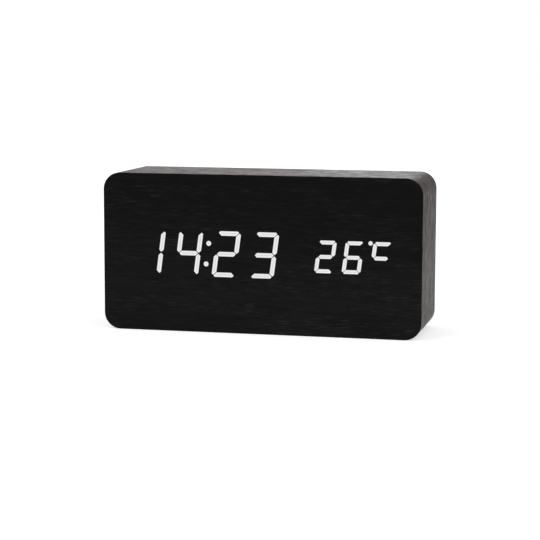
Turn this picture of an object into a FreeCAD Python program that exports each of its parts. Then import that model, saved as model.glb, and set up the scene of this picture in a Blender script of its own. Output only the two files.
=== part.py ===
import FreeCAD
import Part

import math
import os

# Desk clock in a veneered wooden block. Seven-segment LED digits shine through the front veneer:
# the time in large digits, the temperature in small ones.
# Millimetres. X runs along the face, Y from the front (-Y) to the back (+Y), Z is up.
# The origin is the middle of the base. The case is sized round what it holds.

# ---------------------------------------------------------------- case
VENEER = 0.3                 # wood-grain film glued over the block
CORNER_RADIUS = 7.8          # outside corner of the face, over the film
SIDE_WALL = 8.0              # block, left and right of the cavity
TOP_WALL = 8.0               # block, above and below the cavity
FRONT_WALL = 3.0             # block, in front of the cavity
SCREW_WOOD = 1.8             # wood between a cover screw and the cavity's rounded corner
REBATE_WIDTH = 3.0           # ledge round the cavity that the rear cover sits on
REBATE_RADIUS = 5.0
MODULE_ROOM = 0.9            # least room between the display module and the cavity's sides
POCKET_ROOM = 4.95           # between the battery pocket and the cavity above and below it
POCKET_SIDE_ROOM = 7.4       # between the battery pocket and the cavity's left side
BOARD_ROOM = 6.7             # least room between the main board and the cavity's sides
POCKET_TO_BOARD = 4.7        # between the battery pocket and the main board
WIRING_SPACE = 20.7          # between the display board and the battery pocket

# ---------------------------------------------------------------- display
SHOWN_TIME = "1423"
SHOWN_TEMPERATURE = "26"
SLANT_DEGREES = 7.5
TIME_DIGIT_WIDTH = 9.4       # between the centre lines of a digit's two columns
TIME_DIGIT_HALF_HEIGHT = 9.6
TIME_STROKE = 2.1
TIME_SEGMENT_GAP = 0.2       # from a segment's tip to the corner of the centre lines
TIME_DIGIT_GAP = 6.47        # between neighbouring time digits
FIRST_DIGIT_OFFSET = -51.9   # first digit's centre from the middle of the face
COLON_DOT_RADIUS = 1.15
COLON_HALF_SPACING = 4.8
GROUP_GAP = 18.5             # between the time and the temperature
TEMPERATURE_DIGIT_WIDTH = 6.9
TEMPERATURE_HALF_HEIGHT = 6.6
TEMPERATURE_STROKE = 1.8
TEMPERATURE_SEGMENT_GAP = 0.14
TEMPERATURE_DIGIT_GAP = 4.06
TEMPERATURE_RISE = 0.2       # small digits' middle above the middle of the face
DEGREE_DOT_RADIUS = 1.0
DEGREE_DOT_SIDE = 5.65       # from the unit digit's centre line, before the slant
DEGREE_DOT_RISE = 0.2        # above the centre line of the digit's top segment
TIP_SHIFT = 0.35             # how far an outer tip stands outside its centre line
TIP_ROUND = 0.35             # radius of a segment's corners
MODULE_MARGIN = 2.4          # reflector material round the outermost segments
DIFFUSER_DEPTH = 2.5
CELL_CLEARANCE = 0.05        # between a diffuser and its cell in the reflector
WINDOW_CLEARANCE = 0.3       # between the reflector and the window in the block
FLANGE_WIDTH = 2.0
FLANGE_THICKNESS = 2.0
FLANGE_TO_BOARD = 1.5
SEAL_THICKNESS = 0.5         # foam tape between the flange and the block
BOARD_THICKNESS = 1.6
LED_LENGTH, LED_WIDTH, LED_HEIGHT = 1.6, 0.8, 0.6
DRIVER_CHIP_SIZE, DRIVER_CHIP_HEIGHT = 10.0, 1.5
DRIVER_CHIP_OFFSET = -20.0   # from the middle of the face

# ---------------------------------------------------------------- rear cover
COVER_RECESS = 1.0           # cover's outside below the back of the block
SCREW_SEAT = 0.7             # cover left under a screw's head
COVER_GAP = 0.25             # between the cover's edge and the rebate
SCREW_INSET = 5.5            # cover screws from the rebate's two sides
COVER_SCREW_RADIUS = 1.2
COVER_SCREW_LENGTH = 10.0    # under the head
COVER_SCREW_HEAD_RADIUS = 2.4
COVER_SCREW_HEAD_HEIGHT = 1.3
SCREW_CLEARANCE = 0.1        # in the wood and in the plate, on the radius
HEAD_EDGE_SHARE = 0.45       # of a head's height that its rounded edge takes
CROSS_LENGTH_SHARE, CROSS_WIDTH_SHARE = 0.62, 0.13    # crossed slot, of the head's radius
CROSS_DEPTH_SHARE = 0.6      # of the head's height
HEAD_SINK = 0.2              # top of a cover screw's head below the cover's outside

# ---------------------------------------------------------------- battery pocket and door
CELL_COUNT = 4
CELL_RADIUS = 5.25
CELL_LENGTH = 44.5           # over the nub
NUB_RADIUS, NUB_HEIGHT = 1.9, 0.8
CELL_GAP = 0.4               # between neighbouring cells and at the pocket's sides
CELL_REST = 0.2              # between a cell and the pocket's floor
CELL_EDGE_ROUND = 0.6
DOOR_CELL_GAP = 0.4          # between a cell and the door
SPRING_LENGTH = 4.3          # as squeezed by a cell
SPRING_RADIUS = 2.6          # centre of the wire
SPRING_WIRE = 0.35           # radius of the wire
SPRING_TURNS = 3
CONTACT_THICKNESS = 0.4
CONTACT_WIDTH, CONTACT_HEIGHT = 8.4, 8.6
POCKET_WALL = 1.5
DOOR_THICKNESS = 1.8
DOOR_GAP = 0.3               # between the door and its opening
DOOR_SEAT_GAP = 0.05         # between the door and the pocket's rim
RIM_THICKNESS = 1.2
HINGE_PIN_RADIUS = 0.5
HINGE_PIN_CLEARANCE = 0.06
HINGE_PIN_LENGTH = 1.6       # beyond the door's side
HINGE_SOCKET_END = 0.3       # free depth past the end of a hinge pin
FINGER_NOTCH_RADIUS = 7.0
FINGER_NOTCH_REACH = 3.2     # how far the notch reaches past the door's free edge
FINGER_NOTCH_DEPTH = 1.0     # below the cover's outside
LATCH_WIDTH = 14.0
LATCH_LENGTH = 9.0
LATCH_SLOT = 0.8
LATCH_BEAD_RADIUS, LATCH_BEAD_DEPTH = 0.2, 1.3
GRIP_COUNT, GRIP_WIDTH, GRIP_HEIGHT, GRIP_PITCH = 4, 10.0, 0.3, 1.5
GRIP_THICKNESS = 0.7

# ---------------------------------------------------------------- main board and its parts
PART_GAP = 1.5               # between the columns of parts on the main board
POST_COLUMN = 6.4            # board kept free at its right edge for two posts
BOARD_MARGIN = 2.5           # board left of the capacitors
BOARD_END_MARGIN = 5.0       # board above and below the tallest column
BOARD_CORNER_RADIUS = 1.2
POST_RADIUS = 2.4
POST_INSET = 3.4             # post's centre from the board's edges
BOARD_SCREW_RADIUS, BOARD_SCREW_LENGTH = 0.95, 6.0
BOARD_SCREW_HEAD_RADIUS, BOARD_SCREW_HEAD_HEIGHT = 1.9, 1.1
BUTTON_COUNT = 3
BUTTON_PITCH = 13.0
BUTTON_RISE = 9.0            # button row above the middle of the face
BUTTON_RADIUS = 3.6
BUTTON_HOLE_GAP = 0.2
BUTTON_PROUD = 0.8           # above the cover's outside
BUTTON_FLANGE_RADIUS, BUTTON_FLANGE_THICKNESS = 4.6, 1.2
BUTTON_FLANGE_GAP = 0.2      # between the flange and the cover's inside
BUTTON_STEM_RADIUS = 1.6
BUTTON_STEM_LENGTH = 2.1
BUTTON_EDGE_ROUND = 0.5
SWITCH_SIDE, SWITCH_HEIGHT = 6.0, 3.5
PLUNGER_RADIUS, PLUNGER_RISE, PLUNGER_DEPTH = 1.7, 1.5, 1.0
PLUNGER_CLEARANCE = 0.05
PLUNGER_BORE_DEPTH = 2.0
LEG_WIDTH, LEG_THICKNESS, LEG_LENGTH = 0.7, 0.3, 2.1
LEG_SPACING = 4.5
LOWER_ROW_DROP = 10.5        # socket, buzzer and sensors below the middle of the face
SOCKET_SIDE = 9.0
ROW_GAP = 3.5                # between buzzer, microphone, vents and socket
ROW_START = 10.0             # buzzer's edge from the board's left edge
SOCKET_NOSE_RADIUS = 3.1
SOCKET_NOSE_GAP = 0.2
SOCKET_BORE_RADIUS = 1.85
SOCKET_BASE = 1.7            # closed end of the socket's bore
SOCKET_NOSE_ROOT = 1.0
SOCKET_PIN_RADIUS = 0.6
SOCKET_PIN_RECESS = 1.0      # pin's end below the socket's mouth
BUZZER_RADIUS, BUZZER_HEIGHT = 6.0, 7.5
BUZZER_COVER_GAP = 1.0
BUZZER_PORT_RADIUS, BUZZER_PORT_DEPTH = 1.0, 2.0
GRILLE_HOLE_RADIUS, GRILLE_RING_RADIUS, GRILLE_HOLES = 0.8, 3.2, 6
MICROPHONE_RADIUS, MICROPHONE_HEIGHT = 3.0, 2.7
MICROPHONE_PORT_RADIUS = 0.7
MICROPHONE_LEAD_RADIUS, MICROPHONE_LEAD_SPACING = 0.3, 2.5
MICROPHONE_RING_WALL, MICROPHONE_RING_GAP = 1.0, 0.1
THERMISTOR_RADIUS = 1.3
THERMISTOR_LEAD_RADIUS, THERMISTOR_LEAD_SPACING = 0.25, 1.2
THERMISTOR_LEAD_BITE = 0.4   # how far the leads run into the bead
THERMISTOR_COVER_GAP = 0.5   # between the bead and the cover's inside
VENT_LENGTH, VENT_WIDTH, VENT_PITCH, VENT_COUNT = 6.0, 1.0, 2.0, 3
VENT_END_ROUND = 0.45
CONTROLLER_LENGTH, CONTROLLER_WIDTH, CONTROLLER_HEIGHT = 17.9, 7.5, 2.3
CONTROLLER_PINS = 14         # on each side
CONTROLLER_PIN_PITCH, CONTROLLER_PIN_WIDTH, CONTROLLER_PIN_REACH = 1.27, 0.4, 1.3
CONTROLLER_PIN_THICKNESS = 0.25
CRYSTAL_RADIUS, CRYSTAL_LENGTH = 1.5, 8.0
CRYSTAL_SHIFT = 8.5          # right of the coin cell's middle
CAPACITOR_RADIUS, CAPACITOR_HEIGHT = 2.5, 11.0
CAPACITOR_COUNT, CAPACITOR_GAP = 2, 4.0
COIN_CELL_RADIUS, COIN_CELL_THICKNESS = 10.0, 3.2
COIN_HOLDER_WALL, COIN_HOLDER_FLOOR = 1.4, 0.8
COIN_CELL_GAP = 0.15
COIN_CLIP_WIDTH, COIN_CLIP_THICKNESS = 5.0, 0.4
RESISTOR_LENGTH, RESISTOR_WIDTH, RESISTOR_HEIGHT = 2.0, 1.25, 0.5
RESISTOR_COUNT, RESISTOR_PITCH = 8, 2.6

# ---------------------------------------------------------------- wiring
CONNECTOR_LENGTH, CONNECTOR_WIDTH, CONNECTOR_HEIGHT = 22.0, 4.5, 4.6
RIBBON_WIDTH, RIBBON_THICKNESS = 20.0, 0.9
RIBBON_BEND = 2.2            # bend radius at the middle of the ribbon
CONNECTOR_TOP_MARGIN = 5.75  # board above the main connector
DISPLAY_CONNECTOR_DROP = 6.0         # below the middle of the face
LEAD_RADIUS = 0.7
LEAD_BEND = 1.6
LEAD_LANDING = 3.0           # from the main board's edge to a lead's joint
LEAD_RISE = 3.6              # lead's run above the board
LEAD_HEIGHTS = (8.0, 11.5)   # above the middle of the face
LEAD_TAB_LENGTH = 1.0

OUT = "parts"
Vector = FreeCAD.Vector


# ================================================================ helpers
def box(x0, x1, y0, y1, z0, z1):
    """A block between two corners."""
    return Part.makeBox(x1 - x0, y1 - y0, z1 - z0, Vector(x0, y0, z0))


def rod(radius, x, z, y0, y1):
    """A round bar along Y."""
    return Part.makeCylinder(radius, y1 - y0, Vector(x, y0, z), Vector(0, 1, 0))


def cross_rod(radius, x0, x1, y, z):
    """A round bar along X."""
    return Part.makeCylinder(radius, x1 - x0, Vector(x0, y, z), Vector(1, 0, 0))


def row(middle, count, pitch):
    """Evenly spaced places about a middle."""
    return [middle + (i - (count - 1) / 2) * pitch for i in range(count)]


def rounded_wire(points, radius, y):
    """A closed outline in the plane at y, through (x, z) points, with every corner rounded."""
    edges = []
    tangents = []
    count = len(points)
    for i in range(count):
        here = Vector(points[i][0], y, points[i][1])
        back = Vector(points[i - 1][0], y, points[i - 1][1]) - here
        ahead = Vector(points[(i + 1) % count][0], y, points[(i + 1) % count][1]) - here
        half = back.getAngle(ahead) / 2
        reach = radius / math.tan(half)
        start = here + back.normalize() * reach
        end = here + ahead.normalize() * reach
        middle = here + (back + ahead).normalize() * (radius / math.sin(half) - radius)
        tangents.append((start, middle, end))
    for i in range(count):
        start, middle, end = tangents[i]
        edges.append(Part.Arc(start, middle, end).toShape())
        edges.append(Part.LineSegment(end, tangents[(i + 1) % count][0]).toShape())
    return Part.Wire(edges)


def slab(points, radius, y0, y1):
    """A plate with a rounded outline, from y0 to y1."""
    return Part.Face(rounded_wire(points, radius, y0)).extrude(Vector(0, y1 - y0, 0))


def rectangle(x0, x1, z0, z1):
    """The corners of a rectangle, for slab."""
    return [(x0, z0), (x1, z0), (x1, z1), (x0, z1)]


def joined(shapes):
    """Several overlapping solids as one."""
    return shapes[0].multiFuse(shapes[1:]).removeSplitter()


def cut(shape, tools):
    """A solid less all the tools."""
    return shape.cut(Part.makeCompound(tools)) if tools else shape


def export(name, shapes):
    """Writes one node: a solid, or a group of separate solids."""
    solids = [s for shape in shapes for s in shape.Solids]
    shape = solids[0] if len(solids) == 1 else Part.makeCompound(solids)
    shape.exportStep(os.path.join(OUT, name + ".step"))


# ================================================================ digits
class Digit:
    """One seven-segment digit: where it is, and the outlines of its segments."""

    def __init__(self, centre_x, centre_z, width, half_height, stroke, gap):
        self.centre_x = centre_x
        self.centre_z = centre_z
        self.half_width = width / 2
        self.half_height = half_height
        self.half_stroke = stroke / 2
        self.gap = gap

    def right_column(self):
        """X of the centre line of the right-hand segments."""
        return self.centre_x + self.half_width

    def left_column(self):
        """X of the centre line of the left-hand segments."""
        return self.centre_x - self.half_width

    def place(self, across, up):
        """A point of the upright digit, leaned over to the right."""
        return (self.centre_x + across + LEAN * up, self.centre_z + up)

    def outline(self, letter, grow):
        """The six corners of segment a to g, widened all round by grow."""
        w, h = self.half_width, self.half_height
        t, g, s = self.half_stroke + grow, self.gap - grow, TIP_SHIFT
        if letter == "g":
            points = [(-(w - g - t), -t), (w - g - t, -t), (w - g, 0),
                      (w - g - t, t), (-(w - g - t), t), (-(w - g), 0)]
        elif letter in "ad":
            points = [(-(w - t - g), h - t), (w - t - g, h - t), (w + s - g, h + s),
                      (w + 2 * s - g - t, h + t), (-(w + 2 * s - g - t), h + t),
                      (-(w + s - g), h + s)]
        else:
            points = [(w - t, g + t), (w, g), (w + t, g + t), (w + t, h + 2 * s - g - t),
                      (w + s, h + s - g), (w - t, h - t - g)]
        across = -1 if letter in "ef" else 1
        up = -1 if letter in "cde" else 1
        return [self.place(across * u, up * v) for u, v in points]

    def segments(self, letters, y0, y1, grow=0.0):
        """The named segments as plates from y0 to y1."""
        return [slab(self.outline(a, grow), TIP_ROUND, y0, y1) for a in letters]


LETTERS = {"0": "abcdef", "1": "bc", "2": "abged", "3": "abgcd", "4": "fgbc",
           "5": "afgcd", "6": "afgedc", "7": "abc", "8": "abcdefg", "9": "abcdfg"}
ALL_LETTERS = "abcdefg"
UNIT_LETTERS = "aefg"        # enough for a raised C and an F
SHOWN_UNIT = "afg"           # the raised C

# ---------------------------------------------------------------- levels through the case, front to back
REFLECTOR_DEPTH = FRONT_WALL + SEAL_THICKNESS + FLANGE_THICKNESS + FLANGE_TO_BOARD
COVER_THICKNESS = SCREW_SEAT + COVER_SCREW_HEAD_HEIGHT + HEAD_SINK
MAIN_BOARD_STANDOFF = max(BUZZER_HEIGHT + BUZZER_COVER_GAP,
                          SWITCH_HEIGHT + PLUNGER_RISE + BUTTON_STEM_LENGTH
                          + BUTTON_FLANGE_THICKNESS + BUTTON_FLANGE_GAP)
CASE_DEPTH = (VENEER + REFLECTOR_DEPTH + BOARD_THICKNESS + WIRING_SPACE + POCKET_WALL + CELL_REST
              + 2 * CELL_RADIUS + DOOR_CELL_GAP + DOOR_THICKNESS + COVER_RECESS)
Y_FRONT = -CASE_DEPTH / 2
Y_BLOCK_FRONT = Y_FRONT + VENEER
Y_CAVITY_FRONT = Y_BLOCK_FRONT + FRONT_WALL
Y_DISPLAY_BOARD = Y_BLOCK_FRONT + REFLECTOR_DEPTH
Y_DISPLAY_BACK = Y_DISPLAY_BOARD + BOARD_THICKNESS
Y_BACK = CASE_DEPTH / 2
Y_BLOCK_BACK = Y_BACK - VENEER
Y_COVER_OUT = Y_BACK - COVER_RECESS
Y_COVER_IN = Y_COVER_OUT - COVER_THICKNESS
Y_DOOR_IN = Y_COVER_OUT - DOOR_THICKNESS
Y_CELLS = Y_DOOR_IN - DOOR_CELL_GAP - CELL_RADIUS
Y_POCKET_FLOOR = Y_CELLS - CELL_RADIUS - CELL_REST
Y_POCKET_OUT = Y_POCKET_FLOOR - POCKET_WALL
Y_MAIN_BACK = Y_COVER_IN - MAIN_BOARD_STANDOFF
Y_MAIN_FRONT = Y_MAIN_BACK - BOARD_THICKNESS

# ---------------------------------------------------------------- battery pocket
CELL_PITCH = 2 * CELL_RADIUS + CELL_GAP
POCKET_HALF_HEIGHT = (CELL_COUNT * CELL_PITCH + CELL_GAP) / 2
POCKET_HALF_LENGTH = (CELL_LENGTH + SPRING_LENGTH + 2 * CONTACT_THICKNESS) / 2

# ---------------------------------------------------------------- display extents
TIME_REACH = (TIME_DIGIT_WIDTH + TIME_STROKE) / 2
LEAN = math.tan(math.radians(SLANT_DEGREES))
TEMPERATURE_REACH = (TEMPERATURE_DIGIT_WIDTH + TEMPERATURE_STROKE) / 2
TIME_DIGIT_PITCH = 2 * TIME_REACH + TIME_DIGIT_GAP
TEMPERATURE_DIGIT_PITCH = 2 * TEMPERATURE_REACH + TEMPERATURE_DIGIT_GAP
LAST_TIME_OFFSET = FIRST_DIGIT_OFFSET + 3 * TIME_DIGIT_PITCH
TEMPERATURE_OFFSET = LAST_TIME_OFFSET + TIME_REACH + GROUP_GAP + TEMPERATURE_REACH
UNIT_OFFSET = TEMPERATURE_OFFSET + 2 * TEMPERATURE_DIGIT_PITCH
MODULE_LEFT = FIRST_DIGIT_OFFSET - TIME_REACH - LEAN * TIME_DIGIT_HALF_HEIGHT - MODULE_MARGIN
MODULE_RIGHT = UNIT_OFFSET + TEMPERATURE_REACH + LEAN * TEMPERATURE_HALF_HEIGHT + MODULE_MARGIN
MODULE_HALF_HEIGHT = (max(TIME_DIGIT_HALF_HEIGHT + TIME_STROKE / 2,
                          TEMPERATURE_RISE + TEMPERATURE_HALF_HEIGHT + TEMPERATURE_STROKE / 2)
                      + MODULE_MARGIN)

# ---------------------------------------------------------------- main board extents
COIN_HOLDER_RADIUS = COIN_CELL_RADIUS + COIN_CELL_GAP + COIN_HOLDER_WALL
MAIN_BOARD_WIDTH = (BOARD_MARGIN + 2 * CAPACITOR_RADIUS + PART_GAP + 2 * COIN_HOLDER_RADIUS
                    + PART_GAP + CONNECTOR_LENGTH + POST_COLUMN)
MAIN_BOARD_HEIGHT = 2 * (BOARD_END_MARGIN + COIN_HOLDER_RADIUS) + PART_GAP + CRYSTAL_LENGTH

# ---------------------------------------------------------------- case extents
REAR_ROW_WIDTH = (POCKET_SIDE_ROOM + 2 * (POCKET_HALF_LENGTH + POCKET_WALL) + POCKET_TO_BOARD
                  + MAIN_BOARD_WIDTH + BOARD_ROOM)
CAVITY_HALF_WIDTH = max(max(-MODULE_LEFT, MODULE_RIGHT) + FLANGE_WIDTH + MODULE_ROOM,
                        REAR_ROW_WIDTH / 2)
CASE_HALF_WIDTH = CAVITY_HALF_WIDTH + SIDE_WALL + VENEER
CAVITY_HALF_HEIGHT = max(POCKET_HALF_HEIGHT + POCKET_WALL + POCKET_ROOM,
                         MAIN_BOARD_HEIGHT / 2 + BOARD_ROOM,
                         MODULE_HALF_HEIGHT + FLANGE_WIDTH + MODULE_ROOM)
CASE_HEIGHT = 2 * (CAVITY_HALF_HEIGHT + TOP_WALL + VENEER)
FACE_MIDDLE = CASE_HEIGHT / 2
REBATE_HALF_WIDTH = CAVITY_HALF_WIDTH + REBATE_WIDTH
REBATE_HALF_HEIGHT = CAVITY_HALF_HEIGHT + REBATE_WIDTH
CAVITY_RADIUS = ((SCREW_WOOD + COVER_SCREW_RADIUS + SCREW_CLEARANCE
                  + (SCREW_INSET - REBATE_WIDTH) * math.sqrt(2)) / (math.sqrt(2) - 1))
POCKET_LEFT = -CAVITY_HALF_WIDTH + POCKET_SIDE_ROOM + POCKET_WALL
POCKET_RIGHT = POCKET_LEFT + 2 * POCKET_HALF_LENGTH

# ---------------------------------------------------------------- door
DOOR_LEFT = POCKET_LEFT - POCKET_WALL
DOOR_RIGHT = POCKET_RIGHT + POCKET_WALL
DOOR_BOTTOM = FACE_MIDDLE - POCKET_HALF_HEIGHT - POCKET_WALL
DOOR_TOP = FACE_MIDDLE + POCKET_HALF_HEIGHT + POCKET_WALL
DOOR_MIDDLE = (DOOR_LEFT + DOOR_RIGHT) / 2
HINGE_Y = Y_COVER_OUT - DOOR_THICKNESS / 2
HINGE_Z = DOOR_BOTTOM + DOOR_THICKNESS / 2

# ---------------------------------------------------------------- main board
MAIN_LEFT = POCKET_RIGHT + POCKET_WALL + POCKET_TO_BOARD
MAIN_RIGHT = MAIN_LEFT + MAIN_BOARD_WIDTH
MAIN_BOTTOM = FACE_MIDDLE - MAIN_BOARD_HEIGHT / 2
MAIN_TOP = FACE_MIDDLE + MAIN_BOARD_HEIGHT / 2
LOWER_ROW_Z = FACE_MIDDLE - LOWER_ROW_DROP
BUTTON_Z = FACE_MIDDLE + BUTTON_RISE
BUTTON_XS = row((MAIN_LEFT + MAIN_RIGHT) / 2, BUTTON_COUNT, BUTTON_PITCH)
BUTTON_NAMES = ["set", "up", "down"]
PLUNGER_TIP_Y = Y_MAIN_BACK + SWITCH_HEIGHT + PLUNGER_RISE
MICROPHONE_RING_RADIUS = MICROPHONE_RADIUS + MICROPHONE_RING_GAP + MICROPHONE_RING_WALL
VENTS_HALF_WIDTH = ((VENT_COUNT - 1) * VENT_PITCH + VENT_WIDTH) / 2
BUZZER_X = MAIN_LEFT + ROW_START + BUZZER_RADIUS
MICROPHONE_X = BUZZER_X + BUZZER_RADIUS + ROW_GAP + MICROPHONE_RING_RADIUS
THERMISTOR_X = MICROPHONE_X + MICROPHONE_RING_RADIUS + ROW_GAP + VENTS_HALF_WIDTH
SOCKET_X = THERMISTOR_X + VENTS_HALF_WIDTH + ROW_GAP + SOCKET_SIDE / 2
CAPACITOR_X = MAIN_LEFT + BOARD_MARGIN + CAPACITOR_RADIUS
COIN_CELL_X = CAPACITOR_X + CAPACITOR_RADIUS + PART_GAP + COIN_HOLDER_RADIUS
COIN_CELL_Z = MAIN_TOP - BOARD_END_MARGIN - COIN_HOLDER_RADIUS
CRYSTAL_Z = COIN_CELL_Z - COIN_HOLDER_RADIUS - PART_GAP - CRYSTAL_LENGTH / 2
CONNECTOR_X = COIN_CELL_X + COIN_HOLDER_RADIUS + PART_GAP + CONNECTOR_LENGTH / 2
MAIN_CONNECTOR_Z = MAIN_TOP - CONNECTOR_TOP_MARGIN - CONNECTOR_WIDTH / 2
CONTROLLER_Z = MAIN_BOTTOM + BOARD_END_MARGIN + CONTROLLER_WIDTH / 2
RESISTOR_Z = (CONTROLLER_Z + CONTROLLER_WIDTH / 2 + CONTROLLER_PIN_REACH + PART_GAP
              + RESISTOR_LENGTH / 2)

TIME_DIGITS = [Digit(FIRST_DIGIT_OFFSET + i * TIME_DIGIT_PITCH, FACE_MIDDLE, TIME_DIGIT_WIDTH,
                     TIME_DIGIT_HALF_HEIGHT, TIME_STROKE, TIME_SEGMENT_GAP) for i in range(4)]
SMALL_DIGITS = [Digit(TEMPERATURE_OFFSET + i * TEMPERATURE_DIGIT_PITCH,
                      FACE_MIDDLE + TEMPERATURE_RISE, TEMPERATURE_DIGIT_WIDTH,
                      TEMPERATURE_HALF_HEIGHT, TEMPERATURE_STROKE, TEMPERATURE_SEGMENT_GAP)
                for i in range(3)]
TEMPERATURE_DIGITS, UNIT_DIGIT = SMALL_DIGITS[:2], SMALL_DIGITS[2]


def colon_dots(y0, y1, grow=0.0):
    """The two dots between the hours and the minutes, on the digits' slant."""
    middle = (TIME_DIGITS[1].centre_x + TIME_DIGITS[2].centre_x) / 2
    return [rod(COLON_DOT_RADIUS + grow, middle + LEAN * up, FACE_MIDDLE + up, y0, y1)
            for up in (-COLON_HALF_SPACING, COLON_HALF_SPACING)]


def degree_dot(y0, y1, grow=0.0):
    """The degree sign, level with the top of the small digits."""
    x, z = UNIT_DIGIT.place(-DEGREE_DOT_SIDE, TEMPERATURE_HALF_HEIGHT + DEGREE_DOT_RISE)
    return [rod(DEGREE_DOT_RADIUS + grow, x, z, y0, y1)]


def every_segment(y0, y1, grow=0.0):
    """All the segments and dots that the display has, lit or not."""
    shapes = colon_dots(y0, y1, grow) + degree_dot(y0, y1, grow)
    for digit in TIME_DIGITS + TEMPERATURE_DIGITS:
        shapes += digit.segments(ALL_LETTERS, y0, y1, grow)
    return shapes + UNIT_DIGIT.segments(UNIT_LETTERS, y0, y1, grow)


# ================================================================ case
def face_outline(inset):
    """The case's outline, a distance inside the outer surface, and its corner radius."""
    corners = rectangle(-CASE_HALF_WIDTH + inset, CASE_HALF_WIDTH - inset,
                        inset, CASE_HEIGHT - inset)
    return corners, CORNER_RADIUS - inset


def centred(half_width, half_height):
    """A rectangle about the middle of the face."""
    return rectangle(-half_width, half_width, FACE_MIDDLE - half_height, FACE_MIDDLE + half_height)


def rebate_shape(y0, y1):
    """The step at the back of the block that takes the rear cover."""
    return slab(centred(REBATE_HALF_WIDTH, REBATE_HALF_HEIGHT), REBATE_RADIUS, y0, y1)


def cover_screw_places():
    """The four corners where screws hold the rear cover."""
    x = REBATE_HALF_WIDTH - SCREW_INSET
    z = REBATE_HALF_HEIGHT - SCREW_INSET
    return [(sx * x, FACE_MIDDLE + sz * z) for sx in (-1, 1) for sz in (-1, 1)]


def window_outline(grow):
    """The display module's front, widened all round by grow."""
    return rectangle(MODULE_LEFT - grow, MODULE_RIGHT + grow,
                     FACE_MIDDLE - MODULE_HALF_HEIGHT - grow,
                     FACE_MIDDLE + MODULE_HALF_HEIGHT + grow)


def build_case():
    """The milled block and the films glued over it."""
    outline, radius = face_outline(VENEER)
    block = slab(outline, radius, Y_BLOCK_FRONT, Y_BLOCK_BACK)
    cavity = slab(centred(CAVITY_HALF_WIDTH, CAVITY_HALF_HEIGHT), CAVITY_RADIUS,
                  Y_CAVITY_FRONT, Y_BLOCK_BACK)
    window = slab(window_outline(WINDOW_CLEARANCE), WINDOW_CLEARANCE, Y_BLOCK_FRONT, Y_CAVITY_FRONT)
    pilots = [rod(COVER_SCREW_RADIUS + SCREW_CLEARANCE, x, z,
                  Y_COVER_IN - COVER_SCREW_LENGTH, Y_COVER_IN) for x, z in cover_screw_places()]
    export("case_block", [cut(block, [cavity, window, rebate_shape(Y_COVER_IN, Y_BLOCK_BACK)]
                              + pilots)])

    outer, outer_radius = face_outline(0.0)
    band = slab(outer, outer_radius, Y_FRONT, Y_BACK).cut(slab(outline, radius, Y_FRONT, Y_BACK))
    flat_half = CASE_HALF_WIDTH - CORNER_RADIUS
    base = box(-flat_half, flat_half, Y_FRONT, Y_BACK, 0, VENEER)
    export("band_veneer", [band.cut(base)])
    export("base_veneer", [base])
    export("back_veneer", [slab(outline, radius, Y_BLOCK_BACK, Y_BACK)
                           .cut(rebate_shape(Y_BLOCK_BACK, Y_BACK))])

    time_lit = [s for digit, shown in zip(TIME_DIGITS, SHOWN_TIME)
                for s in digit.segments(LETTERS[shown], Y_FRONT, Y_BLOCK_FRONT)]
    temperature_lit = [s for digit, shown in zip(TEMPERATURE_DIGITS, SHOWN_TEMPERATURE)
                       for s in digit.segments(LETTERS[shown], Y_FRONT, Y_BLOCK_FRONT)]
    colon_lit = colon_dots(Y_FRONT, Y_BLOCK_FRONT)
    unit_lit = UNIT_DIGIT.segments(SHOWN_UNIT, Y_FRONT, Y_BLOCK_FRONT)
    unit_lit += degree_dot(Y_FRONT, Y_BLOCK_FRONT)
    export("lit_time_digits", time_lit)
    export("lit_colon_dots", colon_lit)
    export("lit_temperature_digits", temperature_lit)
    export("lit_degree_unit", unit_lit)
    film = slab(outline, radius, Y_FRONT, Y_BLOCK_FRONT)
    export("front_veneer", [cut(film, time_lit + colon_lit + temperature_lit + unit_lit)])


# ================================================================ display module
def display_screw_places():
    """Screws in the gaps between digits, on the centre line."""
    gaps = [(TIME_DIGITS[0], TIME_DIGITS[1]), (TIME_DIGITS[2], TIME_DIGITS[3]),
            (TIME_DIGITS[3], SMALL_DIGITS[0]), (SMALL_DIGITS[0], SMALL_DIGITS[1])]
    return [((a.right_column() + b.left_column()) / 2, FACE_MIDDLE) for a, b in gaps]


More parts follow.
